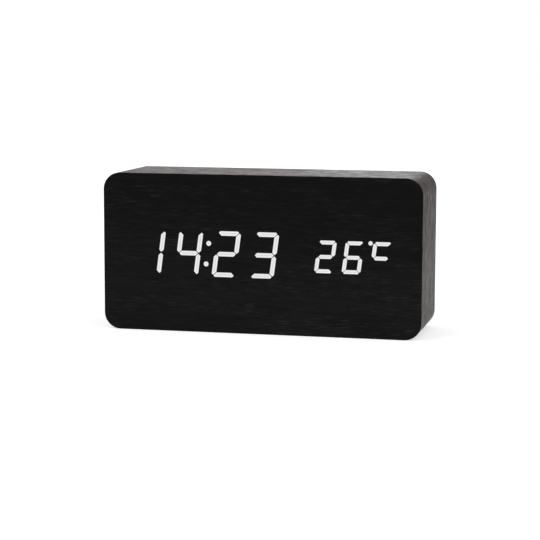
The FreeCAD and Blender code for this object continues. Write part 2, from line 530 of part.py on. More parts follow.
def build_display():
    """The reflector with its diffusers, the board behind it, and what the board carries."""
    y_flange = Y_CAVITY_FRONT + SEAL_THICKNESS
    body = slab(window_outline(0.0), WINDOW_CLEARANCE, Y_BLOCK_FRONT, Y_DISPLAY_BOARD)
    flange = slab(window_outline(FLANGE_WIDTH), FLANGE_WIDTH, y_flange, y_flange + FLANGE_THICKNESS)
    screw_depth = BOARD_SCREW_LENGTH - BOARD_THICKNESS
    pilots = [rod(BOARD_SCREW_RADIUS + SCREW_CLEARANCE / 2, x, z,
                  Y_DISPLAY_BOARD - screw_depth, Y_DISPLAY_BOARD)
              for x, z in display_screw_places()]
    cells = every_segment(Y_BLOCK_FRONT, Y_DISPLAY_BOARD, CELL_CLEARANCE)
    export("display_reflector", [cut(joined([body, flange]), cells + pilots)])
    export("segment_diffusers", every_segment(Y_BLOCK_FRONT, Y_BLOCK_FRONT + DIFFUSER_DEPTH))

    seal = slab(window_outline(FLANGE_WIDTH), FLANGE_WIDTH, Y_CAVITY_FRONT, y_flange)
    opening = slab(window_outline(WINDOW_CLEARANCE), WINDOW_CLEARANCE, Y_CAVITY_FRONT, y_flange)
    export("light_seal_tape", [seal.cut(opening)])

    board = slab(window_outline(FLANGE_WIDTH), FLANGE_WIDTH, Y_DISPLAY_BOARD, Y_DISPLAY_BACK)
    holes = [rod(BOARD_SCREW_RADIUS + SCREW_CLEARANCE, x, z, Y_DISPLAY_BOARD, Y_DISPLAY_BACK)
             for x, z in display_screw_places()]
    export("display_board", [cut(board, holes)])
    export("display_board_screws",
           [screw(BOARD_SCREW_RADIUS, BOARD_SCREW_LENGTH, BOARD_SCREW_HEAD_RADIUS,
                  BOARD_SCREW_HEAD_HEIGHT, x, z, Y_DISPLAY_BACK, 1)
            for x, z in display_screw_places()])
    export("led_chips", led_chips())

    chip_half = DRIVER_CHIP_SIZE / 2
    export("display_driver_chip",
           [box(DRIVER_CHIP_OFFSET - chip_half, DRIVER_CHIP_OFFSET + chip_half, Y_DISPLAY_BACK,
                Y_DISPLAY_BACK + DRIVER_CHIP_HEIGHT, FACE_MIDDLE - chip_half,
                FACE_MIDDLE + chip_half)])


def led_chips():
    """One chip behind each segment and dot, soldered to the display board."""
    chips = []
    for segment in every_segment(Y_BLOCK_FRONT, Y_DISPLAY_BOARD):
        room = segment.BoundBox
        x, z = room.Center.x, room.Center.z
        upright = room.ZLength > room.XLength
        long_half, short_half = LED_LENGTH / 2, LED_WIDTH / 2
        dx, dz = (short_half, long_half) if upright else (long_half, short_half)
        chips.append(box(x - dx, x + dx, Y_DISPLAY_BOARD - LED_HEIGHT, Y_DISPLAY_BOARD,
                         z - dz, z + dz))
    return chips


def screw(radius, length, head_radius, head_height, x, z, y_seat, out):
    """A screw whose head stands on the plane y_seat, on the out side (+1 or -1), with a crossed slot."""
    y_tip, y_top = y_seat - out * length, y_seat + out * head_height
    shank = rod(radius, x, z, min(y_seat, y_tip), max(y_seat, y_tip))
    head = rod(head_radius, x, z, min(y_seat, y_top), max(y_seat, y_top))
    rim = [e for e in head.Edges if len(e.Vertexes) == 1 and abs(e.CenterOfMass.y - y_top) < 1e-6]
    head = head.makeFillet(head_height * HEAD_EDGE_SHARE, rim)
    arm, slot = head_radius * CROSS_LENGTH_SHARE, head_radius * CROSS_WIDTH_SHARE
    y0, y1 = sorted((y_top - out * head_height * CROSS_DEPTH_SHARE, y_top))
    recess = [box(x - arm, x + arm, y0, y1, z - slot, z + slot),
              box(x - slot, x + slot, y0, y1, z - arm, z + arm)]
    return cut(joined([head, shank]), recess)


# ================================================================ rear cover
def pocket_shape(y0, y1, grow):
    """The battery pocket's plan, widened all round by grow, from y0 to y1."""
    return box(POCKET_LEFT - grow, POCKET_RIGHT + grow, y0, y1,
               FACE_MIDDLE - POCKET_HALF_HEIGHT - grow, FACE_MIDDLE + POCKET_HALF_HEIGHT + grow)


def post_places():
    """The four posts that hold the main board off the cover."""
    return [(x, z) for x in (MAIN_LEFT + POST_INSET, MAIN_RIGHT - POST_INSET)
            for z in (MAIN_BOTTOM + POST_INSET, MAIN_TOP - POST_INSET)]


def vent_slots():
    """Slots beside each other that let room air reach the thermistor."""
    slots = []
    for x in row(THERMISTOR_X, VENT_COUNT, VENT_PITCH):
        outline = rectangle(x - VENT_WIDTH / 2, x + VENT_WIDTH / 2,
                            LOWER_ROW_Z - VENT_LENGTH / 2, LOWER_ROW_Z + VENT_LENGTH / 2)
        slots.append(slab(outline, VENT_END_ROUND, Y_COVER_IN, Y_COVER_OUT))
    return slots


def grille_holes():
    """The sound holes over the buzzer: one in the middle and a ring round it."""
    holes = [rod(GRILLE_HOLE_RADIUS, BUZZER_X, LOWER_ROW_Z, Y_COVER_IN, Y_COVER_OUT)]
    for i in range(GRILLE_HOLES):
        angle = 2 * math.pi * i / GRILLE_HOLES
        holes.append(rod(GRILLE_HOLE_RADIUS, BUZZER_X + GRILLE_RING_RADIUS * math.cos(angle),
                         LOWER_ROW_Z + GRILLE_RING_RADIUS * math.sin(angle),
                         Y_COVER_IN, Y_COVER_OUT))
    return holes


def build_rear_cover():
    """The moulded cover with its battery pocket, posts and openings, and its screws."""
    outline = centred(REBATE_HALF_WIDTH - COVER_GAP, REBATE_HALF_HEIGHT - COVER_GAP)
    plate = slab(outline, REBATE_RADIUS - COVER_GAP, Y_COVER_IN, Y_COVER_OUT)
    pocket = pocket_shape(Y_POCKET_OUT, Y_COVER_IN, POCKET_WALL)
    y_seat = Y_DOOR_IN - DOOR_SEAT_GAP
    rim = pocket_shape(y_seat - RIM_THICKNESS, y_seat, POCKET_WALL + DOOR_GAP)
    posts = [rod(POST_RADIUS, x, z, Y_MAIN_BACK, Y_COVER_IN) for x, z in post_places()]
    microphone_ring = rod(MICROPHONE_RING_RADIUS, MICROPHONE_X, LOWER_ROW_Z,
                          Y_COVER_IN - MICROPHONE_HEIGHT, Y_COVER_IN)

    door_opening = pocket_shape(y_seat, Y_COVER_OUT, POCKET_WALL + DOOR_GAP)
    finger_notch = rod(FINGER_NOTCH_RADIUS, DOOR_MIDDLE,
                       DOOR_TOP + FINGER_NOTCH_REACH - FINGER_NOTCH_RADIUS,
                       Y_COVER_OUT - FINGER_NOTCH_DEPTH, Y_COVER_OUT)
    sockets = cross_rod(HINGE_PIN_RADIUS + HINGE_PIN_CLEARANCE,
                        DOOR_LEFT - HINGE_PIN_LENGTH - HINGE_SOCKET_END,
                        DOOR_RIGHT + HINGE_PIN_LENGTH + HINGE_SOCKET_END, HINGE_Y, HINGE_Z)
    tools = [door_opening, finger_notch, sockets,
             pocket_shape(Y_POCKET_FLOOR, Y_COVER_OUT, 0.0)]
    tools += [rod(COVER_SCREW_RADIUS + SCREW_CLEARANCE, x, z, Y_COVER_IN, Y_COVER_OUT)
              for x, z in cover_screw_places()]
    tools += [rod(COVER_SCREW_HEAD_RADIUS + SCREW_CLEARANCE, x, z, Y_COVER_IN + SCREW_SEAT,
                  Y_COVER_OUT) for x, z in cover_screw_places()]
    tools += [rod(BOARD_SCREW_RADIUS + SCREW_CLEARANCE / 2, x, z, Y_MAIN_BACK,
                  Y_MAIN_BACK + BOARD_SCREW_LENGTH - BOARD_THICKNESS) for x, z in post_places()]
    tools += [rod(BUTTON_RADIUS + BUTTON_HOLE_GAP, x, BUTTON_Z, Y_COVER_IN, Y_COVER_OUT)
              for x in BUTTON_XS]
    tools += [rod(SOCKET_NOSE_RADIUS + SOCKET_NOSE_GAP, SOCKET_X, LOWER_ROW_Z,
                  Y_COVER_IN, Y_COVER_OUT)]
    tools += [rod(MICROPHONE_RADIUS + MICROPHONE_RING_GAP, MICROPHONE_X, LOWER_ROW_Z,
                  Y_COVER_IN - MICROPHONE_HEIGHT, Y_COVER_IN),
              rod(MICROPHONE_PORT_RADIUS, MICROPHONE_X, LOWER_ROW_Z, Y_COVER_IN, Y_COVER_OUT)]
    tools += grille_holes() + vent_slots()
    export("rear_cover", [cut(joined([plate, pocket, rim, microphone_ring] + posts), tools)])

    y_head = Y_COVER_IN + SCREW_SEAT
    export("rear_cover_screws",
           [screw(COVER_SCREW_RADIUS, COVER_SCREW_LENGTH + SCREW_SEAT, COVER_SCREW_HEAD_RADIUS,
                  COVER_SCREW_HEAD_HEIGHT, x, z, y_head, 1) for x, z in cover_screw_places()])


def build_door():
    """The battery door: a plate with a rounded hinge edge and pins, a spring latch and grip ribs."""
    plate = box(DOOR_LEFT, DOOR_RIGHT, Y_DOOR_IN, Y_COVER_OUT, HINGE_Z, DOOR_TOP)
    edge = cross_rod(DOOR_THICKNESS / 2, DOOR_LEFT, DOOR_RIGHT, HINGE_Y, HINGE_Z)
    pins = cross_rod(HINGE_PIN_RADIUS, DOOR_LEFT - HINGE_PIN_LENGTH,
                     DOOR_RIGHT + HINGE_PIN_LENGTH, HINGE_Y, HINGE_Z)
    ribs = []
    for z in row(DOOR_TOP - LATCH_LENGTH / 2, GRIP_COUNT, GRIP_PITCH):
        ribs.append(box(DOOR_MIDDLE - GRIP_WIDTH / 2, DOOR_MIDDLE + GRIP_WIDTH / 2,
                        Y_DOOR_IN, Y_COVER_OUT + GRIP_HEIGHT,
                        z - GRIP_THICKNESS / 2, z + GRIP_THICKNESS / 2))
    bead = cross_rod(LATCH_BEAD_RADIUS, DOOR_MIDDLE - LATCH_WIDTH / 2, DOOR_MIDDLE + LATCH_WIDTH / 2,
                     Y_COVER_OUT - LATCH_BEAD_DEPTH, DOOR_TOP)
    slots = [box(x, x + LATCH_SLOT, Y_DOOR_IN, Y_COVER_OUT, DOOR_TOP - LATCH_LENGTH, DOOR_TOP)
             for x in (DOOR_MIDDLE - LATCH_WIDTH / 2 - LATCH_SLOT, DOOR_MIDDLE + LATCH_WIDTH / 2)]
    export("battery_door", [cut(joined([plate, edge, pins, bead] + ribs), slots)])


# ================================================================ batteries
def build_batteries():
    """The cells, and the springs and contact plates at their ends."""
    springs, plates = [], []
    for i, z in enumerate(row(FACE_MIDDLE, CELL_COUNT, CELL_PITCH)):
        out = 1 if i % 2 == 0 else -1    # which way the nub points: neighbours alternate
        nub_wall = POCKET_RIGHT if out > 0 else POCKET_LEFT
        spring_wall = POCKET_LEFT if out > 0 else POCKET_RIGHT
        nub_end = nub_wall - out * CONTACT_THICKNESS
        flat_end = nub_end - out * CELL_LENGTH
        shoulder = nub_end - out * NUB_HEIGHT
        can = cross_rod(CELL_RADIUS, min(flat_end, shoulder), max(flat_end, shoulder), Y_CELLS, z)
        rims = [e for e in can.Edges if len(e.Vertexes) == 1]
        can = can.makeFillet(CELL_EDGE_ROUND, rims)
        nub = cross_rod(NUB_RADIUS, min(shoulder, nub_end), max(shoulder, nub_end), Y_CELLS, z)
        export("battery_cell_%d" % (i + 1), [joined([can, nub])])
        springs.append(spring(flat_end - out * SPRING_LENGTH, z, out))
        for wall, inward in ((nub_wall, -out), (spring_wall, out)):
            x0, x1 = sorted((wall, wall + inward * CONTACT_THICKNESS))
            y_low = Y_CELLS - CONTACT_HEIGHT / 2
            plates.append(box(x0, x1, y_low, y_low + CONTACT_HEIGHT,
                              z - CONTACT_WIDTH / 2, z + CONTACT_WIDTH / 2))
    export("battery_springs", springs)
    export("battery_contact_plates", plates)


def spring(x, z, out):
    """A coil spring that stands on a contact plate at x and reaches towards the cell."""
    halves = 2 * SPRING_TURNS
    step = (SPRING_LENGTH - 2 * SPRING_WIRE) / halves
    here = Vector(x + out * SPRING_WIRE, Y_CELLS, z + SPRING_RADIUS)
    side = 1    # half turns bend to +Y and -Y in turn
    turns = []
    for _ in range(halves):
        across = Vector(out * step, 0, -2 * side * SPRING_RADIUS)
        wire = Part.Face(Part.Wire(Part.makeCircle(SPRING_WIRE, here, Vector(0, 1, 0))))
        axis = Vector(0, side, 0).cross(across)
        turns.append(wire.revolve(here + across * 0.5, axis, 180))
        here = here + across
        side = -side
    return joined(turns)


# ================================================================ main board
def build_main_board():
    """The main board, its screws, and the parts on its two sides."""
    board = slab(rectangle(MAIN_LEFT, MAIN_RIGHT, MAIN_BOTTOM, MAIN_TOP), BOARD_CORNER_RADIUS,
                 Y_MAIN_FRONT, Y_MAIN_BACK)
    holes = [rod(BOARD_SCREW_RADIUS + SCREW_CLEARANCE, x, z, Y_MAIN_FRONT, Y_MAIN_BACK)
             for x, z in post_places()]
    export("main_board", [cut(board, holes)])
    export("main_board_screws",
           [screw(BOARD_SCREW_RADIUS, BOARD_SCREW_LENGTH, BOARD_SCREW_HEAD_RADIUS,
                  BOARD_SCREW_HEAD_HEIGHT, x, z, Y_MAIN_FRONT, -1) for x, z in post_places()])
    build_controls()
    build_socket()
    build_sensors()
    build_front_parts()


def build_controls():
    """The three push buttons and the switches that they press."""
    housings, legs = [], []
    half = SWITCH_SIDE / 2
    y_top = Y_MAIN_BACK + SWITCH_HEIGHT
    for name, x in zip(BUTTON_NAMES, BUTTON_XS):
        bore = rod(PLUNGER_RADIUS + PLUNGER_CLEARANCE, x, BUTTON_Z, y_top - PLUNGER_BORE_DEPTH, y_top)
        housings.append(box(x - half, x + half, Y_MAIN_BACK, y_top,
                            BUTTON_Z - half, BUTTON_Z + half).cut(bore))
        for sx in (-1, 1):
            for sz in (-1, 1):
                x0, x1 = sorted((x + sx * half, x + sx * (half + LEG_THICKNESS)))
                z = BUTTON_Z + sz * LEG_SPACING / 2
                legs.append(box(x0, x1, Y_MAIN_BACK, Y_MAIN_BACK + LEG_LENGTH,
                                z - LEG_WIDTH / 2, z + LEG_WIDTH / 2))
        export(name + "_switch_plunger",
               [rod(PLUNGER_RADIUS, x, BUTTON_Z, y_top - PLUNGER_DEPTH, PLUNGER_TIP_Y)])
        export(name + "_button", [button(x)])
    export("switch_housings", housings)
    export("switch_legs", legs)


def button(x):
    """A button: a stem on the switch, a flange that keeps it in, and a round cap through the cover."""
    y_flange = Y_COVER_IN - BUTTON_FLANGE_GAP
    y_cap = Y_COVER_OUT + BUTTON_PROUD
    stem = rod(BUTTON_STEM_RADIUS, x, BUTTON_Z, PLUNGER_TIP_Y, y_flange)
    flange = rod(BUTTON_FLANGE_RADIUS, x, BUTTON_Z, y_flange - BUTTON_FLANGE_THICKNESS, y_flange)
    cap = rod(BUTTON_RADIUS, x, BUTTON_Z, y_flange - BUTTON_FLANGE_THICKNESS, y_cap)
    rim = [e for e in cap.Edges if len(e.Vertexes) == 1 and abs(e.CenterOfMass.y - y_cap) < 1e-6]
    return joined([cap.makeFillet(BUTTON_EDGE_ROUND, rim), flange, stem])


def build_socket():
    """The power socket: a block on the board, a nose through the cover, and a centre pin."""
    half = SOCKET_SIDE / 2
    block = box(SOCKET_X - half, SOCKET_X + half, Y_MAIN_BACK, Y_COVER_IN,
                LOWER_ROW_Z - half, LOWER_ROW_Z + half)
    nose = rod(SOCKET_NOSE_RADIUS, SOCKET_X, LOWER_ROW_Z, Y_COVER_IN - SOCKET_NOSE_ROOT, Y_COVER_OUT)
    y_end = Y_MAIN_BACK + SOCKET_BASE
    bore = rod(SOCKET_BORE_RADIUS, SOCKET_X, LOWER_ROW_Z, y_end, Y_COVER_OUT)
    export("power_socket", [joined([block, nose]).cut(bore)])
    export("power_socket_pin",
           [rod(SOCKET_PIN_RADIUS, SOCKET_X, LOWER_ROW_Z, y_end, Y_COVER_OUT - SOCKET_PIN_RECESS)])


def build_sensors():
    """Buzzer, microphone and thermistor, on the side of the board that faces the cover."""
    y_top = Y_MAIN_BACK + BUZZER_HEIGHT
    port = rod(BUZZER_PORT_RADIUS, BUZZER_X, LOWER_ROW_Z, y_top - BUZZER_PORT_DEPTH, y_top)
    export("buzzer", [rod(BUZZER_RADIUS, BUZZER_X, LOWER_ROW_Z, Y_MAIN_BACK, y_top).cut(port)])

    y_microphone = Y_COVER_IN - MICROPHONE_HEIGHT
    export("microphone", [rod(MICROPHONE_RADIUS, MICROPHONE_X, LOWER_ROW_Z, y_microphone,
                              Y_COVER_IN)])
    export("microphone_leads",
           [rod(MICROPHONE_LEAD_RADIUS, MICROPHONE_X + s * MICROPHONE_LEAD_SPACING / 2,
                LOWER_ROW_Z, Y_MAIN_BACK, y_microphone) for s in (-1, 1)])

    y_bead = Y_COVER_IN - THERMISTOR_COVER_GAP - THERMISTOR_RADIUS
    bead = Part.makeSphere(THERMISTOR_RADIUS, Vector(THERMISTOR_X, y_bead, LOWER_ROW_Z))
    leads = [rod(THERMISTOR_LEAD_RADIUS, THERMISTOR_X + s * THERMISTOR_LEAD_SPACING / 2,
                 LOWER_ROW_Z, Y_MAIN_BACK, y_bead - THERMISTOR_LEAD_BITE) for s in (-1, 1)]
    export("thermistor_leads", leads)
    export("thermistor", [cut(bead, leads)])


def build_front_parts():
    """Controller, crystal, capacitors, resistors and the coin cell, on the board's front side."""
    half_length, half_width = CONTROLLER_LENGTH / 2, CONTROLLER_WIDTH / 2
    export("controller_chip", [box(CONNECTOR_X - half_length, CONNECTOR_X + half_length,
                                   Y_MAIN_FRONT - CONTROLLER_HEIGHT, Y_MAIN_FRONT,
                                   CONTROLLER_Z - half_width, CONTROLLER_Z + half_width)])
    pins = []
    for x in row(CONNECTOR_X, CONTROLLER_PINS, CONTROLLER_PIN_PITCH):
        for z in (CONTROLLER_Z - half_width - CONTROLLER_PIN_REACH, CONTROLLER_Z + half_width):
            pins.append(box(x - CONTROLLER_PIN_WIDTH / 2, x + CONTROLLER_PIN_WIDTH / 2,
                            Y_MAIN_FRONT - CONTROLLER_PIN_THICKNESS, Y_MAIN_FRONT,
                            z, z + CONTROLLER_PIN_REACH))
    export("controller_pins", pins)

    foot = Vector(COIN_CELL_X + CRYSTAL_SHIFT, Y_MAIN_FRONT - CRYSTAL_RADIUS,
                  CRYSTAL_Z - CRYSTAL_LENGTH / 2)
    export("crystal", [Part.makeCylinder(CRYSTAL_RADIUS, CRYSTAL_LENGTH, foot, Vector(0, 0, 1))])
    pitch = 2 * CAPACITOR_RADIUS + CAPACITOR_GAP
    export("smoothing_capacitors",
           [rod(CAPACITOR_RADIUS, CAPACITOR_X, z, Y_MAIN_FRONT - CAPACITOR_HEIGHT, Y_MAIN_FRONT)
            for z in row(FACE_MIDDLE, CAPACITOR_COUNT, pitch)])

    chips = []
    for x in row(CONNECTOR_X, RESISTOR_COUNT, RESISTOR_PITCH):
        chips.append(box(x - RESISTOR_WIDTH / 2, x + RESISTOR_WIDTH / 2,
                         Y_MAIN_FRONT - RESISTOR_HEIGHT, Y_MAIN_FRONT,
                         RESISTOR_Z - RESISTOR_LENGTH / 2, RESISTOR_Z + RESISTOR_LENGTH / 2))
    export("chip_resistors", chips)
    build_coin_cell()


def build_coin_cell():
    """The cell that keeps the time when the power is off, in its cup under a spring clip."""
    x, z, outer = COIN_CELL_X, COIN_CELL_Z, COIN_HOLDER_RADIUS
    bore = COIN_CELL_RADIUS + COIN_CELL_GAP
    y_floor = Y_MAIN_FRONT - COIN_HOLDER_FLOOR
    y_top = y_floor - COIN_CELL_THICKNESS
    cup = rod(outer, x, z, y_top, Y_MAIN_FRONT).cut(rod(bore, x, z, y_top, y_floor))
    export("coin_cell_holder", [cup])
    export("coin_cell", [rod(COIN_CELL_RADIUS, x, z, y_top, y_floor)])
    export("coin_cell_clip",
           [box(x - COIN_CLIP_WIDTH / 2, x + COIN_CLIP_WIDTH / 2,
                y_top - COIN_CLIP_THICKNESS, y_top, z - outer, z + outer)])


# ================================================================ wiring
def swept(path_points, bends, section):
    """A wire or ribbon along straight runs joined by tangent arcs."""
    edges = []
    here = path_points[0]
    for i, radius in enumerate(bends):
        corner = path_points[i + 1]
        back = (path_points[i] - corner).normalize()
        ahead = (path_points[i + 2] - corner).normalize()
        half = back.getAngle(ahead) / 2
        start = corner + back * (radius / math.tan(half))
        end = corner + ahead * (radius / math.tan(half))
        middle = corner + (back + ahead).normalize() * (radius / math.sin(half) - radius)
        edges += [Part.LineSegment(here, start).toShape(), Part.Arc(start, middle, end).toShape()]
        here = end
    edges.append(Part.LineSegment(here, path_points[-1]).toShape())
    return Part.Wire(edges).makePipeShell([section], True, True)


def build_wiring():
    """The ribbon from the main board to the display, and the two battery leads."""
    x, z_main = CONNECTOR_X, MAIN_CONNECTOR_Z
    z_display = FACE_MIDDLE - DISPLAY_CONNECTOR_DROP
    half_length, half_width = CONNECTOR_LENGTH / 2, CONNECTOR_WIDTH / 2
    y_main = Y_MAIN_FRONT - CONNECTOR_HEIGHT
    y_display = Y_DISPLAY_BACK + CONNECTOR_HEIGHT
    export("main_connector", [box(x - half_length, x + half_length, y_main, Y_MAIN_FRONT,
                                  z_main - half_width, z_main + half_width)])
    export("display_connector", [box(x - half_length, x + half_length, Y_DISPLAY_BACK, y_display,
                                     z_display - half_width, z_display + half_width)])
    y_turn = (y_main + y_display) / 2
    points = [Vector(x, y_display, z_display), Vector(x, y_turn, z_display),
              Vector(x, y_turn, z_main), Vector(x, y_main, z_main)]
    half_ribbon, half_thickness = RIBBON_WIDTH / 2, RIBBON_THICKNESS / 2
    corners = [Vector(x + sx * half_ribbon, y_display, z_display + sz * half_thickness)
               for sx, sz in ((-1, -1), (1, -1), (1, 1), (-1, 1))]
    section = Part.makePolygon(corners + corners[:1])
    bend = min(RIBBON_BEND, (y_main - y_display) / 2, (z_main - z_display) / 2)
    export("ribbon_cable", [swept(points, [bend, bend], section)])

    x_wall = POCKET_RIGHT + POCKET_WALL
    x_landing = MAIN_LEFT + LEAD_LANDING
    y_run = Y_MAIN_BACK + LEAD_RISE
    tabs = []
    for name, up in zip(("red_battery_lead", "black_battery_lead"), LEAD_HEIGHTS):
        z = FACE_MIDDLE + up
        start = Vector(x_wall + LEAD_TAB_LENGTH, y_run, z)
        points = [start, Vector(x_landing, y_run, z), Vector(x_landing, Y_MAIN_BACK, z)]
        section = Part.Wire(Part.makeCircle(LEAD_RADIUS, start, Vector(1, 0, 0)))
        export(name, [swept(points, [LEAD_BEND], section)])
        tabs.append(box(x_wall, start.x, y_run - LEAD_RADIUS, y_run + LEAD_RADIUS,
                        z - LEAD_RADIUS, z + LEAD_RADIUS))
    export("battery_lead_tabs", tabs)


def main():
    os.makedirs(OUT, exist_ok=True)
    build_case()
    build_display()
    build_rear_cover()
    build_door()
    build_batteries()
    build_main_board()
    build_wiring()
    print("case %.2f x %.2f x %.2f mm" % (2 * CASE_HALF_WIDTH, CASE_DEPTH, CASE_HEIGHT))


main()
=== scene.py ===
"""Looks of a desk clock: a block in black wood-grain film, with lit digits behind its front.

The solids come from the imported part. This script gives every one of them its finish and adds
the small raised, printed and soldered details that the solids leave plain. Metres throughout:
X along the face, Y from front to back, Z up.
"""

import logging
import math
from abc import ABC, abstractmethod
from dataclasses import dataclass, field
from enum import Enum
from functools import cached_property
from typing import Iterable, Protocol

import bmesh
import bpy
from mathutils import Matrix, Vector

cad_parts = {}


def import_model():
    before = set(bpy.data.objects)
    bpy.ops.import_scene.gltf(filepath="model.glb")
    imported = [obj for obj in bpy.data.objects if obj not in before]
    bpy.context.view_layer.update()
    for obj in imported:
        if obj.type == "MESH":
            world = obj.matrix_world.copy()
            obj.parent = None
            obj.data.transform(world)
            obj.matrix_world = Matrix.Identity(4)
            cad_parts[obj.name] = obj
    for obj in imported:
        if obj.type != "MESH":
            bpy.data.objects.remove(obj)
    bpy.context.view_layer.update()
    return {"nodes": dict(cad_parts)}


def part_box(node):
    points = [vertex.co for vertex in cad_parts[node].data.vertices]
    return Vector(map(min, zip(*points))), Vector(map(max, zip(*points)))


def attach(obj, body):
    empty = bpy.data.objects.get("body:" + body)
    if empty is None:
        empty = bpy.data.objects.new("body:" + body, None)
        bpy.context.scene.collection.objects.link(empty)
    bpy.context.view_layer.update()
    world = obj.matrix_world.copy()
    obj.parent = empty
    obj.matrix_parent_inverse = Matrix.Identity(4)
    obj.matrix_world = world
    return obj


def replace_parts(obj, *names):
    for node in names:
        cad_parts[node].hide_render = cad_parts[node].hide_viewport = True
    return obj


LOG = logging.getLogger("desk_clock")
MM = 0.001
CELLS = tuple(f"battery_cell_{number}" for number in range(1, 5))
BUTTONS = ("set_button", "up_button", "down_button")
Triple = tuple[float, float, float]
Colour = tuple[float, float, float]
Range = tuple[float, float]
Socket = bpy.types.NodeSocket
NOISE_RANGE: Range = (0.3, 0.7)  # nearly all values of a soft noise lie between these


# ------------------------------------------------------------------ materials
def shaded(colour: Colour, factor: float, lift: float = 0.0) -> Colour:
    """A colour made darker or lighter, and no brighter than white."""
    return tuple(min(1.0, part * factor + lift) for part in colour)


class Graph:
    """The shader nodes of one material or world, built from plain calls."""

    EDGE_SAMPLES = 6
    WAVE_SCALE = 20.0  # radians of a wave for each unit of its scale

    def __init__(self, name: str, world: bool = False) -> None:
        """Makes an empty material, or an empty world.

        Args:
            name: its name.
            world: True for a world.
        """
        self.owner = (bpy.data.worlds if world else bpy.data.materials).new(name)
        self.owner.use_nodes = True
        self.tree = self.owner.node_tree
        self.tree.nodes.clear()

    @cached_property
    def coordinates(self) -> bpy.types.Node:
        """The node that gives the piece's own coordinates."""
        return self.add("ShaderNodeTexCoord")

    def add(self, kind: str, inputs: dict[str | int, object] | None = None,
            **settings: object) -> bpy.types.Node:
        """Adds a node and fills its sockets.

        Args:
            kind: Blender's name of the node type.
            inputs: socket name or number to a value or to another node's output.
            **settings: properties of the node itself.

        Returns:
            The new node.
        """
        node = self.tree.nodes.new(kind)
        for name, value in settings.items():
            setattr(node, name, value)
        for name, value in (inputs or {}).items():
            if isinstance(value, Socket):
                self.tree.links.new(value, node.inputs[name])
            else:
                node.inputs[name].default_value = value
        return node

    def stretched(self, scale: Vector | Triple | float,
                  turn: Triple = (0.0, 0.0, 0.0)) -> Socket:
        """Object coordinates with one scale for each direction, or one for all of them.

        Args:
            scale: repeats for each metre along X, Y and Z.
            turn: rotation of the pattern, in radians.

        Returns:
            The vector socket.
        """
        scales = (scale,) * 3 if isinstance(scale, float) else tuple(scale)
        mapping = self.add("ShaderNodeMapping", {"Vector": self.coordinates.outputs["Object"],
                                                 "Rotation": turn, "Scale": scales})
        return mapping.outputs["Vector"]

    def noise(self, scale: Vector | Triple | float, detail: float = 3.0, rough: float = 0.55,
              turn: Triple = (0.0, 0.0, 0.0)) -> Socket:
        """Soft noise on object coordinates.

        Args:
            scale: repeats for each metre along X, Y and Z, or one number for all.
            detail: number of finer layers.
            rough: strength of the finer layers.
            turn: rotation of the pattern, in radians.

        Returns:
            The grey value, 0 to 1.
        """
        node = self.add("ShaderNodeTexNoise", {"Vector": self.stretched(scale, turn),
                                               "Scale": 1.0, "Detail": detail,
                                               "Roughness": rough})
        return node.outputs["Fac"]

    def painted_light_band(self, period: float, crest: float, wander: float) -> Socket:
        """Broad soft bands, one above another.

        Args:
            period: height from one band to the next, in metres.
            crest: height of a band's middle, in metres.
            wander: how far the bands stray from level.

        Returns:
            The grey value, 0 to 1.
        """
        turns = 2.0 * math.pi / period
        node = self.add("ShaderNodeTexWave",
                        {"Vector": self.coordinates.outputs["Object"],
                         "Scale": turns / self.WAVE_SCALE, "Distortion": wander, "Detail": 1.0,
                         "Detail Scale": 4.0, "Phase Offset": math.pi - turns * crest},
                        bands_direction="Z")
        return node.outputs["Fac"]

    def component(self, kind: str, axis: str) -> Socket:
        """One direction, X, Y or Z, of the Object coordinates or of the Normal."""
        place = self.coordinates.outputs[kind]
        return self.add("ShaderNodeSeparateXYZ", {0: place}).outputs[axis]

    def spread(self, value: Socket, low: float, high: float, to_low: float = 0.0,
               to_high: float = 1.0) -> Socket:
        """Stretches the range from low to high to the one from to_low to to_high, clamped."""
        node = self.add("ShaderNodeMapRange", {0: value, 1: low, 2: high, 3: to_low, 4: to_high})
        return node.outputs[0]

    def maths(self, operation: str, a: Socket | float, b: Socket | float = 0.0) -> Socket:
        """One sum of two values, by Blender's name of the operation."""
        return self.add("ShaderNodeMath", {0: a, 1: b}, operation=operation).outputs[0]

    def weigh(self, *shares: tuple[Socket, float]) -> Socket:
        """Adds up values, each times its weight.

        Args:
            *shares: pairs of a value and its weight.

        Returns:
            The total.
        """
        total, *others = [self.maths("MULTIPLY", value, weight) for value, weight in shares]
        for other in others:
            total = self.maths("ADD", total, other)
        return total

    def mix(self, factor: Socket, first: Socket | Colour, second: Socket | Colour) -> Socket:
        """A colour between two.

        Args:
            factor: 0 gives the first, 1 the second.
            first: a linear colour or a colour socket.
            second: the same, for the other end.

        Returns:
            The colour socket.
        """
        ends = [end if isinstance(end, Socket) else (*end, 1.0) for end in (first, second)]
        node = self.add("ShaderNodeMix", {"Factor": factor, 6: ends[0], 7: ends[1]},
                        data_type="RGBA")
        return node.outputs[2]

    def relief(self, height: Socket, depth: float, edge: float) -> Socket:
        """A bumped normal on top of softened edges.

        Args:
            height: grey value, 0 to 1.
            depth: height of a full step, in metres.
            edge: radius of the softened edges, in metres.

        Returns:
            The normal socket.
        """
        soft = self.add("ShaderNodeBevel", {"Radius": edge}, samples=self.EDGE_SAMPLES)
        bump = self.add("ShaderNodeBump", {"Height": height, "Distance": depth,
                                           "Strength": 1.0, "Normal": soft.outputs[0]})
        return bump.outputs["Normal"]

    def in_sight(self) -> Socket:
        """Tells what the camera sees, also by mirrors, from what only lights other things.

        Returns:
            1 for rays from the camera and for reflected or refracted ones, 0 for the rest.
        """
        rays = self.add("ShaderNodeLightPath").outputs
        mirrored = self.maths("MAXIMUM", rays["Is Glossy Ray"], rays["Is Transmission Ray"])
        return self.maths("MAXIMUM", rays["Is Camera Ray"], mirrored)

